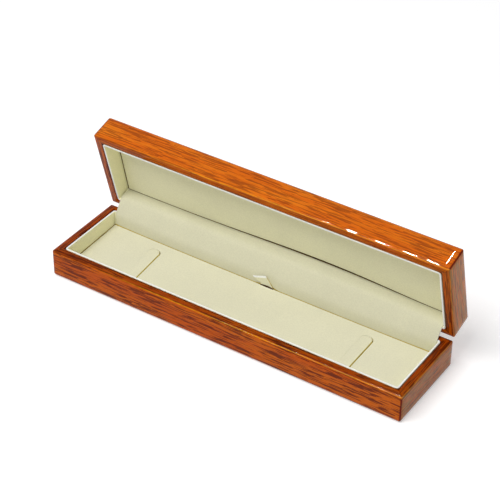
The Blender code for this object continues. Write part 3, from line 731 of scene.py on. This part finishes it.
def paper_material(tone):
    """White paper: its own light, for what looks at it, keeps it white and leaves the shadow."""
    material, nodes, shader, vector = new_material("white paper")
    cloud = nodes.noise(vector, 3.0)
    surface(nodes, shader, nodes.mix(nodes.ramp(cloud, 0.2, 0.8, 0.0, 0.02), tone, WHITE), 1.0, 0.0)
    shader.inputs["Emission Color"].default_value = WHITE
    nodes.put(nodes.math("MULTIPLY", looked_at(nodes), 0.38), shader.inputs["Emission Strength"])
    return material


SPLIT_CORNER_GAP = 0.000002
SHALLOW_DEGREES = 40
FLAT_FACE_WEIGHT = 100


def smooth_faces():
    """A Geometry Nodes group that joins split corners and shades shallow edges smooth."""
    name = "smooth faces"
    if name in bpy.data.node_groups:
        return bpy.data.node_groups[name]
    tree = bpy.data.node_groups.new(name, "GeometryNodeTree")
    for in_out in ("INPUT", "OUTPUT"):
        tree.interface.new_socket(name="Geometry", in_out=in_out, socket_type="NodeSocketGeometry")
    nodes = Tree(tree)
    given = nodes.add("NodeGroupInput").outputs[0]
    bare = nodes.add("GeometryNodeRemoveAttribute", {"Geometry": given, "Name": "custom_normal"})
    close = {"Geometry": bare.outputs[0], "Distance": SPLIT_CORNER_GAP}
    joined = nodes.add("GeometryNodeMergeByDistance", close)
    turn = nodes.add("GeometryNodeInputMeshEdgeAngle").outputs["Unsigned Angle"]
    limit = {"A": turn, "B": math.radians(SHALLOW_DEGREES)}
    steep = nodes.add("FunctionNodeCompare", limit, operation="GREATER_THAN")
    faces = nodes.add("GeometryNodeSetShadeSmooth", {"Geometry": joined.outputs[0]}, domain="FACE")
    sharp = {"Geometry": faces.outputs[0], "Selection": steep.outputs[0], "Shade Smooth": False}
    edges = nodes.add("GeometryNodeSetShadeSmooth", sharp, domain="EDGE")
    nodes.put(edges.outputs[0], nodes.add("NodeGroupOutput").inputs[0])
    return tree


def finish_node(node, material):
    """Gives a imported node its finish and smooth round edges."""
    obj = frame["nodes"][node]
    obj.data.materials.clear()
    obj.data.materials.append(material)
    joined = obj.modifiers.new("smooth faces", "NODES")
    joined.node_group = smooth_faces()
    weighted = obj.modifiers.new("flat faces first", "WEIGHTED_NORMAL")
    weighted.keep_sharp = True
    weighted.weight = FLAT_FACE_WEIGHT


# Pieces

CASE_FINISHES = {
    "base veneer": ("base_front_wall", "base_back_wall", "base_bottom_board"),
    "base end veneer": ("base_left_wall", "base_right_wall"),
    "lid veneer": ("lid_front_wall", "lid_back_wall", "lid_top_panel"),
    "lid end veneer": ("lid_left_wall", "lid_right_wall"),
}


class WATCHBOX_OT_case(Operator):
    """Gives the mitred walls, the top panel and the bottom board their lacquered veneer"""

    bl_idname = "watchbox.case"
    bl_label = "Lacquered Case"

    def execute(self, context):
        wood = context.scene.watch_box_wood
        walls = [node for node in frame["nodes"] if node.endswith("_wall")]
        base_box = box_round([corner for node in walls if node.startswith("base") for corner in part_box(node)])
        lid_box = closed_box(*[node for node in walls if node.startswith("lid")])
        base = self.places(base_box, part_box("base_wall_lining"), base_box[1].z)
        lid = self.places(lid_box, closed_box("lid_wall_lining"), lid_box[0].z)
        for name, nodes in CASE_FINISHES.items():
            swung = name.startswith("lid")
            streaks = wood.lid_streaks if name == "lid veneer" else wood.base_streaks
            finish = wood_material(name, wood, swung, "end" in name, lid if swung else base, streaks)
            for node in nodes:
                finish_node(node, finish)
        return {"FINISHED"}

    def places(self, box, lining, rim):
        """What the group of case places needs to know of half a case."""
        low, high = box
        centre = (low + high) / 2
        mouth = Vector((lining[1].x - centre.x, centre.y - lining[0].y, 1))
        return {"Centre": centre, "Outer": (high - low) / 2, "Mouth": mouth, "Rim": rim}


class WATCHBOX_OT_hinges(Operator):
    """Gives the hinge leaves and screws satin brass and the pins drawn steel"""

    bl_idname = "watchbox.hinges"
    bl_label = "Hinges"

    def execute(self, context):
        fittings = context.scene.watch_box_fittings
        brass = metal_material("satin brass", fittings.brass_tone, 0.28)
        steel = metal_material("drawn steel", fittings.steel_tone, 0.32)
        for node in frame["nodes"]:
            if "hinge" in node and node != "hinge_flap":
                finish_node(node, steel if node.endswith("pin") else brass)
        return {"FINISHED"}


class WATCHBOX_OT_felt(Operator):
    """Gives the felt under the base its pile"""

    bl_idname = "watchbox.felt"
    bl_label = "Underside Felt"

    def execute(self, context):
        finish_node("base_underside_felt", felt_material(context.scene.watch_box_fittings.felt_tone))
        return {"FINISHED"}


LINING = 0.0011
LINING_CORNER = 0.0013
LINING_CORNER_STEPS = 8
LINING_RETURN_INSET = 0.0008
LINING_RIM_RADIUS = 0.00028
LINING_RIM_STEPS = 3
LINING_SWELL = 0.00018
LINING_SWELL_STEPS = 8
LINING_WAVE = 0.00006
LINING_WAVE_TURNS = (210, 330)
LINING_WHITE_RIM = 0.0002
LINING_STEP = 0.004


class WATCHBOX_OT_linings(Operator):
    """Makes the padded strips round the inside of the base and the lid"""

    bl_idname = "watchbox.linings"
    bl_label = "Wall Linings"

    def execute(self, context):
        low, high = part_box("base_wall_lining")
        base = self.strip("base_lining_strip", "base", low, high, low.z, high.z)
        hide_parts("base_wall_lining")
        low, high = closed_box("lid_wall_lining")
        lid = self.strip("lid_lining_strip", "lid", low, high, high.z, low.z)
        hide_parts("lid_wall_lining")
        lid.data.transform(SWING)
        return {"FINISHED"}

    def strip(self, name, body, low, high, foot, rim):
        """One strip round the front and sides: its rim edge is white, its face swells a little."""
        x = high.x - LINING / 2
        front = low.y + LINING / 2
        back = high.y - LINING / 2
        end = x - LINING / 2 - LINING_RETURN_INSET
        corners = [(-end, back), (-x, back), (-x, front), (x, front), (x, back), (end, back)]
        path = self.dense(rounded_path(corners, LINING_CORNER, LINING_CORNER_STEPS))
        height = high.z - low.z
        section = self.section(height)
        bm = bmesh.new()
        rings = []
        for i, (px, py) in enumerate(path):
            ahead = Vector(path[min(i + 1, len(path) - 1)]) - Vector(path[max(i - 1, 0)])
            inward = Vector((-ahead.y, ahead.x)).normalized()
            wave = LINING_WAVE * math.sin(px * LINING_WAVE_TURNS[0] + py * LINING_WAVE_TURNS[1])
            ring = []
            for offset, rise in section:
                out = offset + (wave if offset > 0 else 0)
                z = foot + (rim - foot) * rise
                ring.append(bm.verts.new((px + inward.x * out, py + inward.y * out, z)))
            rings.append(ring)
        white_from = 1 - LINING_WHITE_RIM / height
        for face, _, i in bridge(bm, rings, closed=True):
            face.material_index = 1 if (section[i - 1][1] + section[i][1]) / 2 > white_from else 0
        for ring in (rings[0], rings[-1]):
            bm.faces.new(ring).material_index = 1
        cover = lining_material(f"wall leatherette of the {body}")
        obj = add_piece(name, mesh_from(bm, name), body, cover, lining_material("white cut edge and ribbon highlight"))
        smooth(obj, 45)
        return obj

    def dense(self, path):
        """The same path with its points close enough for the wave."""
        made = [path[0]]
        for before, point in zip(path, path[1:]):
            steps = max(1, math.ceil((Vector(point) - Vector(before)).length / LINING_STEP))
            made += [tuple(Vector(before).lerp(Vector(point), i / steps)) for i in range(1, steps + 1)]
        return made

    def section(self, height):
        """Offsets from the strip's middle and shares of its height, once round."""
        half, radius, steps = LINING / 2, LINING_RIM_RADIUS, LINING_SWELL_STEPS
        points = [(-half, 0), (half, 0)]
        points += [(half + LINING_SWELL * math.sin(math.pi * i / steps), i / steps) for i in range(1, steps)]
        for middle, start in ((half - radius, 0), (radius - half, math.pi / 2)):
            corner = arc((middle, 1), radius, start, start + math.pi / 2, LINING_RIM_STEPS)
            points += [(u, 1 + (v - 1 - radius) / height) for u, v in corner]
        return points


PAD_GRID = (96, 24)
PAD_SIDE_INSET = 0.0002
PAD_BACK_RISE = 0.0003
PAD_BACK_RISE_POWER = 12
PAD_SIDE_POWER = 8
PAD_FRONT_POWER = 4
RIBBON_SLOT_HALF = 0.0047
RIBBON_SLOT_LIP = 0.0001
RIBBON_SLOT_OVERRUN = 0.002
RIBBON_SLOT_HEAD = 0.01
WINDOW_OVERRUN = 0.003
FOAM_GRID = (60, 14)
FOAM_INSET = 0.0002
FOAM_RADIUS = 0.0004


class WATCHBOX_OT_strap_pad(Operator):
    """Makes the strap pad with its two windows and ribbon slot, and the foam bed under it"""

    bl_idname = "watchbox.strap_pad"
    bl_label = "Strap Pad"

    def execute(self, context):
        lining = context.scene.watch_box_lining
        low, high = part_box("strap_pad")
        top = high.z - PAD_SLOPE * pad_back(0)
        thick = tongue_levels("left")[1]
        half = high.x - PAD_SIDE_INSET
        front = low.y

        def back_at(x):
            return pad_back(x) + PAD_TO_FLAP

        def top_at(x, y):
            across = (y - front) / (pad_back(x) - front)
            full = (1 - (x / half) ** PAD_SIDE_POWER) * (1 - max(1 - 2 * across, 0) ** PAD_FRONT_POWER)
            rise = PAD_BACK_RISE * across**PAD_BACK_RISE_POWER
            return top + PAD_SLOPE * y + lining.crown * (full - 1) + rise

        def bottom_at(x, y):
            return top - thick + PAD_SLOPE * y

        radius = lining.edge_radius
        mesh = pad_mesh("strap_cushion", half, front, back_at, bottom_at, top_at, radius, *PAD_GRID)
        pad = add_piece("strap_cushion", mesh, "lift_out_pad", lining_material("pad leatherette"))
        for label in TONGUE_PLACES:
            subtract(pad, window_cutter(label, top_at, thick, lining.slit_radius))
        subtract(pad, self.ribbon_slot(top))
        smooth(pad, 40)
        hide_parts("strap_pad")
        self.foam(lining)
        return {"FINISHED"}

    def ribbon_slot(self, top):
        half = RIBBON_SLOT_HALF
        front = pad_back(0) - RIBBON_SLOT_LIP
        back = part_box("pull_ribbon")[1].y + RIBBON_SLOT_OVERRUN
        plan = [(-half, front), (half, front), (half, back), (-half, back)]
        return loft("ribbon_slot", [[(x, y, z) for x, y in plan] for z in (0, top + RIBBON_SLOT_HEAD)])

    def foam(self, lining):
        """The springy bed under the pad, cut a little soft at its edges."""
        low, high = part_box("pad_foam_bed")
        top = high.z - PAD_SLOPE * pad_back(0)
        mesh = pad_mesh(
            "foam_block", high.x - FOAM_INSET, low.y + FOAM_INSET, lambda x: pad_back(x) - FOAM_INSET,
            lambda x, y: low.z, lambda x, y: top + PAD_SLOPE * y, FOAM_RADIUS, *FOAM_GRID,
        )
        bed = add_piece("foam_block", mesh, "base", foam_material(lining.foam_tone))
        smooth(bed, 40)
        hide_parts("pad_foam_bed")


# Each tongue's middle, and how far it leans to the side for each metre of its length
TONGUE_PLACES = {"left": (-0.0750, -0.055), "right": (0.0735, 0.0)}
TONGUE_WIDTH = 0.0071
TONGUE_END = 0.0160
TONGUE_ROOT = -0.0180
TONGUE_RADIUS = 0.0029
TONGUE_CREASE = (-0.0002, 0.007)
TONGUE_ARC_STEPS = 10
TONGUE_SIDE_STEPS = 12
SLIT = 0.0006
SLIT_GAPS = (0.00004, 0.0005)
SLIT_STEPS = 5
# The turned edge is least full up to a place left of the middle, then grows to the right
SLIT_LEAST_TURN = 0.02
SLIT_TURN_FROM = -0.25
SLIT_TURN_RUN = 1.1


def tongue_levels(label):
    """Height of a tongue's face, carried on to y = 0, and how far below the face its lowest point is."""
    low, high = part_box(f"{label}_strap_tongue")
    top = high.z - PAD_SLOPE * TONGUE_END
    return top, top + PAD_SLOPE * TONGUE_ROOT - low.z


def tongue_outline(left, right, end, radius):
    """A strap with a straight root at the front and a rounded free end at the back, about x = 0."""
    last = end - radius
    far = arc((right - radius, last), radius, 0, math.pi / 2, TONGUE_ARC_STEPS)
    near = arc((radius - left, last), radius, math.pi / 2, math.pi, TONGUE_ARC_STEPS)
    root = TONGUE_ROOT - SLIT
    side = [root + (last - root) * i / TONGUE_SIDE_STEPS for i in range(TONGUE_SIDE_STEPS)]
    return [(right, y) for y in side] + far + near + [(-left, y) for y in reversed(side)]


def slit_rings(side, radius):
    """Rings of the walls beside a slit, from below to the top, as offsets in plan and in height.

    The side is 1 for the pad's window and -1 for the tongue in it. The leatherette turns over the
    edge on the slit's right-hand side and lies tight on its left.
    """
    left, right = (TONGUE_WIDTH / 2 + SLIT / 2 + side * gap / 2 for gap in SLIT_GAPS)
    end = TONGUE_END + SLIT / 2 + side * SLIT_GAPS[1] / 5
    corner = TONGUE_RADIUS + SLIT / 2
    grow = side * radius
    plain = tongue_outline(left, right, end, corner)
    turned = tongue_outline(left + grow, right + grow, end + grow, corner + grow)
    shares = []
    for u, v in plain:
        along = min(max((u / right - SLIT_TURN_FROM) / SLIT_TURN_RUN, 0), 1)
        shares.append(SLIT_LEAST_TURN + (1 - SLIT_LEAST_TURN) * along * along * (3 - 2 * along))
    rings = []
    for i in range(SLIT_STEPS + 1):
        turn = math.pi / 2 * i / SLIT_STEPS
        out, down = 1 - math.cos(turn), radius * (1 - math.sin(turn))
        ring = []
        for (u, v), (far_u, far_v), part in zip(plain, turned, shares):
            ring.append((u + (far_u - u) * out * part, v + (far_v - v) * out * part, -down * part))
        rings.append(ring)
    return rings


def tongue_rings(label, rings, top_at):
    """Rings set at a tongue's place, with its slight lean, on the pad's surface."""
    x, lean = TONGUE_PLACES[label]
    return [[(x + u + lean * v, v, top_at(x + u, v) + w) for u, v, w in ring] for ring in rings]


def window_cutter(label, top_at, thick, radius):
    """A tongue's window in the pad, its upper edge flared so that the leatherette turns over it."""
    rings = slit_rings(1, radius)
    foot = [(u, v, -thick - WINDOW_OVERRUN) for u, v, w in rings[0]]
    head = [(u, v, WINDOW_OVERRUN) for u, v, w in rings[-1]]
    return loft("window", tongue_rings(label, [foot, *rings, head], top_at))


class WATCHBOX_OT_tongues(Operator):
    """Makes the two tongues that hold down a strap's ends"""

    bl_idname = "watchbox.tongues"
    bl_label = "Strap Tongues"

    def execute(self, context):
        radius = context.scene.watch_box_lining.slit_radius
        for label, (x, _) in TONGUE_PLACES.items():
            node = f"{label}_strap_tongue"
            top, thick = tongue_levels(label)
            rings = slit_rings(-1, radius)
            foot = [(u, v, -thick) for u, v, w in rings[0]]
            mesh = loft(node, tongue_rings(label, [foot, *rings], lambda x, y: top + PAD_SLOPE * y))
            tongue = add_piece(f"{label}_tongue", mesh, None, lining_material("tongue leatherette"))
            smooth(tongue, 40)
            root = top + PAD_SLOPE * TONGUE_ROOT
            start, end = ((x, TONGUE_ROOT + along, root) for along in TONGUE_CREASE)
            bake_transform(tongue)
            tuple(start)
            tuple(end)
            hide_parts(node)
        return {"FINISHED"}


RIBBON_THICKNESS = 0.00022
RIBBON_PLY_HALF_GAP = 0.00017
RIBBON_TO_FLAP = 0.00033
RIBBON_STEPS = 32
RIBBON_COLUMNS = 5
RIBBON_HIGHLIGHT_ROWS = 2
RIBBON_FOLD_GAP = 0.5
RIBBON_FOLD_OPENS = 3
RIBBON_LEANING = 0.0051
RIBBON_SIDES = (-0.0044, 0.0045)
RIBBON_SHIFTS = (-0.0054, -0.0059)
RIBBON_LEFT_STARTS = 0.3
RIBBON_TWIST = 0.0019


class WATCHBOX_OT_ribbon(Operator):
    """Makes the folded ribbon that lifts the strap pad out"""

    bl_idname = "watchbox.ribbon"
    bl_label = "Pull Ribbon"

    def execute(self, context):
        low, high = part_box("pull_ribbon")
        steps = RIBBON_STEPS
        shares = [column / RIBBON_COLUMNS for column in range(RIBBON_COLUMNS + 1)]
        bm = bmesh.new()
        rows = []
        for i in range(steps + 1):
            up = 1 - abs(2 * i / steps - 1)
            opened = min(1, RIBBON_FOLD_OPENS * (1 - up) + RIBBON_FOLD_GAP)
            layer = RIBBON_PLY_HALF_GAP * math.cos(math.pi * i / steps) * opened
            rows.append([bm.verts.new(self.place(across, up, layer, low.z, high.z)) for across in shares])
        # The rows at the ribbon's fold take the white of the cut edges as a painted highlight
        for face, row, _ in bridge(bm, rows):
            face.material_index = 1 if abs(row - (steps - 1) / 2) < RIBBON_HIGHLIGHT_ROWS else 0
        ribbon = add_piece(
            "ribbon_loop", mesh_from(bm, "ribbon_loop"), "lift_out_pad", lining_material("ribbon satin"),
            lining_material("white cut edge and ribbon highlight"), lining_material("shaded ribbon edge"),
        )
        # The ribbon's rims take a darker yellow as painted shade
        thicken(ribbon, RIBBON_THICKNESS, 2)
        smooth(ribbon, 50)
        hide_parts("pull_ribbon")
        return {"FINISHED"}

    def place(self, across, up, layer, foot, head):
        """A point of the ribbon: upright in its slot, then leaning to the left in front of the flap."""
        z = foot + (head - foot) * up
        lean = max(0, (z - (head - RIBBON_LEANING)) / RIBBON_LEANING)
        left_lean = max(0, (lean - RIBBON_LEFT_STARTS) / (1 - RIBBON_LEFT_STARTS))
        left = RIBBON_SIDES[0] + RIBBON_SHIFTS[0] * left_lean
        right = RIBBON_SIDES[1] + RIBBON_SHIFTS[1] * lean
        x = left + (right - left) * across
        y = flap_in_base(x) - FLAP / 2 - RIBBON_TO_FLAP - layer
        return x, y, z + RIBBON_TWIST * lean * across


LID_PAD_SIDE_INSET = 0.0005
LID_PAD_BACK_REACH = 0.0004
LID_PAD_SIDE_POWER = 8
LID_PAD_CROSS_POWER = 4


class WATCHBOX_OT_lid_pad(Operator):
    """Makes the padded board in the lid"""

    bl_idname = "watchbox.lid_pad"
    bl_label = "Lid Pad"

    def execute(self, context):
        lining = context.scene.watch_box_lining
        low, high = closed_box("lid_pad")
        face = low.z + LID_PAD_SLOPE * lid_pad_back(0)
        front = low.y
        half = high.x - LID_PAD_SIDE_INSET

        def back_at(x):
            return lid_pad_back(x) + LID_PAD_BACK_REACH * flap_shares(x)[1]

        def depth_at(x, y):
            across = (y - front) / (lid_pad_back(x) - front)
            swell = (1 - (x / half) ** LID_PAD_SIDE_POWER) * (1 - (2 * across - 1) ** LID_PAD_CROSS_POWER)
            return -(face - LID_PAD_SLOPE * y - lining.crown * (swell - 1))

        # Made face up like the other pads, then turned over
        radius = lining.edge_radius
        mesh = pad_mesh(
            "lid_cushion", half, front, back_at, lambda x, y: -high.z, depth_at, radius, *PAD_GRID
        )
        mesh.transform(Matrix.Scale(-1, 4, Vector((0, 0, 1))))
        mesh.flip_normals()
        mesh.transform(SWING)
        pad = add_piece("lid_cushion", mesh, "lid", lining_material("lid leatherette"))
        smooth(pad, 40)
        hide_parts("lid_pad")
        return {"FINISHED"}


FLAP_COLUMNS = 150
FLAP_GLUED = 0.0022
FLAP_RIM_STAND = 0.0003
FLAP_RIM_BULGE = 0.0007
FLAP_SHOULDER_STAND = 0.0019
FLAP_SHOULDER_BULGE = 0.0010
FLAP_SHOULDER_SHARES = (0.25, 0.68)
FLAP_BEND_DROP = 0.0028
FLAP_BELOW_PAD = 0.0032
FLAP_LID_RIM_DROP = 0.0003
FLAP_LID_FACE = 0.0102


class WATCHBOX_OT_flap(Operator):
    """Makes the sheet of leatherette that hides the hinges"""

    bl_idname = "watchbox.flap"
    bl_label = "Hinge Flap"

    def execute(self, context):
        lid_low, lid_high = closed_box("lid_wall_lining")
        levels = (
            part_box("base_wall_lining")[0].z,
            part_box("strap_pad")[1].z - FLAP_BELOW_PAD,
            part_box("base_back_wall")[1].z - FLAP_BEND_DROP,
            lid_low.z - FLAP_LID_RIM_DROP,
            lid_high.z,
        )
        bm = bmesh.new()
        places = [FLAP_X * (2 * i / FLAP_COLUMNS - 1) for i in range(FLAP_COLUMNS + 1)]
        rows = [[bm.verts.new(point) for point in self.profile(x, *levels)] for x in places]
        list(bridge(bm, rows))
        run = sum((b.co - a.co).length for a, b in zip(rows[0], rows[0][1:]))
        flap = add_piece(
            "flap_sheet", mesh_from(bm, "flap_sheet"), None,
            lining_material("flap leatherette"), lining_material("white cut edge and ribbon highlight"),
        )
        rounder = flap.modifiers.new("smooth sheet", "SUBSURF")
        rounder.levels = rounder.render_levels = 2
        rounder.boundary_smooth = "PRESERVE_CORNERS"
        thicken(flap, FLAP, 1)
        smooth(flap, 50)
        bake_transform(flap)
        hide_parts("hinge_flap")
        return {"FINISHED"}

    def profile(self, x, floor, pad_top, bend, lid_rim, lid_ceiling):
        """The flap's middle line at x, from the base's floor over the hinges to the lid's top."""
        lid_share = flap_shares(x)[1]
        in_base = flap_in_base(x)
        at_rim = FLAP_Y - FLAP_RIM_STAND - FLAP_RIM_BULGE * lid_share
        shoulder = FLAP_Y - FLAP_SHOULDER_STAND - FLAP_SHOULDER_BULGE * lid_share
        at_pad = FLAP_Y - FLAP_LID_STAND - FLAP_LID_BULGE * lid_share
        in_base_part = [
            (FLAP_Y, floor),
            (FLAP_Y, floor + FLAP_GLUED),
            (in_base, pad_top),
            (in_base, bend),
            (at_rim, lid_rim),
        ]
        in_lid_part = [
            (at_rim, lid_rim),
            *[(shoulder, lid_rim + FLAP_LID_FACE * part) for part in FLAP_SHOULDER_SHARES],
            (at_pad, lid_rim + FLAP_LID_FACE),
            (FLAP_Y, lid_ceiling - FLAP_GLUED),
            (FLAP_Y, lid_ceiling),
        ]
        points = [Vector((x, y, z)) for y, z in in_base_part]
        return points + [SWING @ Vector((x, y, z)) for y, z in in_lid_part]


# Studio

FLOOR_HALF = 6
FLOOR_DROP = 0.00005
# Each lamp's place, the point that it is aimed at, its width and its depth
SOFTBOX = ((-0.24, -0.77, 1.38), (0, 0, 0), 1.0, 0.7)
NARROW_LAMPS = {
    "narrow lamp 1": ((-0.3413, 0.00, 0.94), (0.045, 0.040, 0.081), 0.005, 0.10),
    "narrow lamp 2": ((-0.3083, 0.03, 0.94), (0.061, 0.040, 0.081), 0.012, 0.10),
    "narrow lamp 3": ((-0.2699, 0.03, 0.94), (0.081, 0.040, 0.081), 0.012, 0.10),
    "narrow lamp 4": ((-0.2370, 0.03, 0.94), (0.097, 0.040, 0.081), 0.013, 0.10),
    "narrow lamp 5": ((-0.2075, 0.04, 0.94), (0.112, 0.040, 0.081), 0.012, 0.10),
    "side lamp": ((-0.15, 0.3475, 0.94), (0.128, 0.047, 0.079), 0.03, 0.045),
}
FULL_GLINT_WIDTH = 0.013
NARROW_SPREAD = 7
CAMERA_PLACE = (0.4331, -0.6626, 0.6303)


class WATCHBOX_OT_studio(Operator):
    """Sets the pale floor, the soft lamps, the world and the camera"""

    bl_idname = "watchbox.studio"
    bl_label = "Studio"

    def execute(self, context):
        studio = context.scene.watch_box_studio
        context.scene.view_settings.view_transform = "Standard"
        self.floor(studio)
        self.world(context, studio)
        self.lamps(studio)
        self.camera(context, studio)
        return {"FINISHED"}

    def floor(self, studio):
        bm = bmesh.new()
        bmesh.ops.create_grid(bm, x_segments=8, y_segments=8, size=FLOOR_HALF)
        floor = add_piece("floor", mesh_from(bm, "floor"), None, paper_material(studio.floor_tone))
        floor.location = (0, 0, -FLOOR_DROP)

    def world(self, context, studio):
        """Level light from all round; seen or mirrored, it is white down by the floor."""
        world = bpy.data.worlds.new("studio")
        world.use_nodes = True
        context.scene.world = world
        nodes = Tree(world.node_tree)
        background = world.node_tree.nodes["Background"]
        seen = looked_at(nodes)
        height = nodes.parts(nodes.add("ShaderNodeTexCoord").outputs["Generated"])[2]
        low = nodes.math("MULTIPLY", seen, nodes.ramp(height, 0.55, 0.25))
        background.inputs["Color"].default_value = WHITE
        levels = {"Factor": low, "A": studio.sky, "B": 1.0}
        strength = nodes.add("ShaderNodeMix", levels, data_type="FLOAT")
        nodes.put(strength.outputs["Result"], background.inputs["Strength"])

    def lamp(self, name, form, power, spread=180):
        """A lamp whose width lies level."""
        place, aim, width, depth = form
        light = bpy.data.lights.new(name, "AREA")
        light.shape = "RECTANGLE"
        light.size = width
        light.size_y = depth
        light.energy = power
        light.spread = math.radians(spread)
        obj = bpy.data.objects.new(name, light)
        back = (Vector(place) - Vector(aim)).normalized()
        side = Vector((0, 1, 0)).cross(back).normalized()
        facing = Matrix((side, back.cross(side), back)).transposed().to_4x4()
        obj.matrix_world = Matrix.Translation(place) @ facing
        obj.visible_camera = False
        bpy.context.scene.collection.objects.link(obj)
        return obj

    def lamps(self, studio):
        """A large softbox in front, and narrow lamps that only show as glints in the lacquer.

        These shine just behind the lid's front edge and miss the base.
        """
        self.lamp("softbox", SOFTBOX, studio.key)
        for name, form in NARROW_LAMPS.items():
            strength = min(form[2] / FULL_GLINT_WIDTH, 1)
            lamp = self.lamp(name, form, studio.glints * strength, NARROW_SPREAD)
            lamp.visible_diffuse = False

    def camera(self, context, studio):
        data = bpy.data.cameras.new("camera")
        data.sensor_width = 36
        data.lens = studio.lens
        camera = bpy.data.objects.new("camera", data)
        turn, lift = studio.azimuth, studio.elevation
        ahead = Vector((-math.sin(turn) * math.cos(lift), math.cos(turn) * math.cos(lift), -math.sin(lift)))
        right = ahead.cross(Vector((0, 0, 1))).normalized()
        up = right.cross(ahead)
        tilt_cos, tilt_sin = math.cos(studio.roll), math.sin(studio.roll)
        side = right * tilt_cos + up * tilt_sin
        top = up * tilt_cos - right * tilt_sin
        matrix = Matrix((side, top, -ahead)).transposed().to_4x4()
        matrix.translation = CAMERA_PLACE
        camera.matrix_world = matrix
        context.scene.collection.objects.link(camera)
        context.scene.camera = camera


class WATCHBOX_PT_panel(Panel):
    """Lists the pieces and the studio, in the order in which they are made"""

    bl_idname = "WATCHBOX_PT_panel"
    bl_label = "Watch Box"
    bl_space_type = "VIEW_3D"
    bl_region_type = "UI"
    bl_category = "Watch Box"

    def draw(self, context):
        for operator in OPERATORS:
            self.layout.operator(operator.bl_idname)
        for group in GROUPS:
            box = self.layout.box()
            values = getattr(context.scene, group)
            for name in values.bl_rna.properties.keys():
                if name not in ("rna_type", "name"):
                    box.prop(values, name)


OPERATORS = (
    WATCHBOX_OT_case,
    WATCHBOX_OT_hinges,
    WATCHBOX_OT_felt,
    WATCHBOX_OT_linings,
    WATCHBOX_OT_strap_pad,
    WATCHBOX_OT_tongues,
    WATCHBOX_OT_ribbon,
    WATCHBOX_OT_lid_pad,
    WATCHBOX_OT_flap,
    WATCHBOX_OT_studio,
)
GROUPS = {
    "watch_box_wood": WatchBoxWood,
    "watch_box_lining": WatchBoxLining,
    "watch_box_fittings": WatchBoxFittings,
    "watch_box_studio": WatchBoxStudio,
}


def register():
    for cls in (*GROUPS.values(), *OPERATORS, WATCHBOX_PT_panel):
        bpy.utils.register_class(cls)
    for name, cls in GROUPS.items():
        setattr(bpy.types.Scene, name, PointerProperty(type=cls))


def unregister():
    for name in GROUPS:
        delattr(bpy.types.Scene, name)
    for cls in reversed((*GROUPS.values(), *OPERATORS, WATCHBOX_PT_panel)):
        bpy.utils.unregister_class(cls)


def main():
    register()
    for operator in OPERATORS:
        group, name = operator.bl_idname.split(".")
        getattr(getattr(bpy.ops, group), name)()


if __name__ == "__main__":
    main()
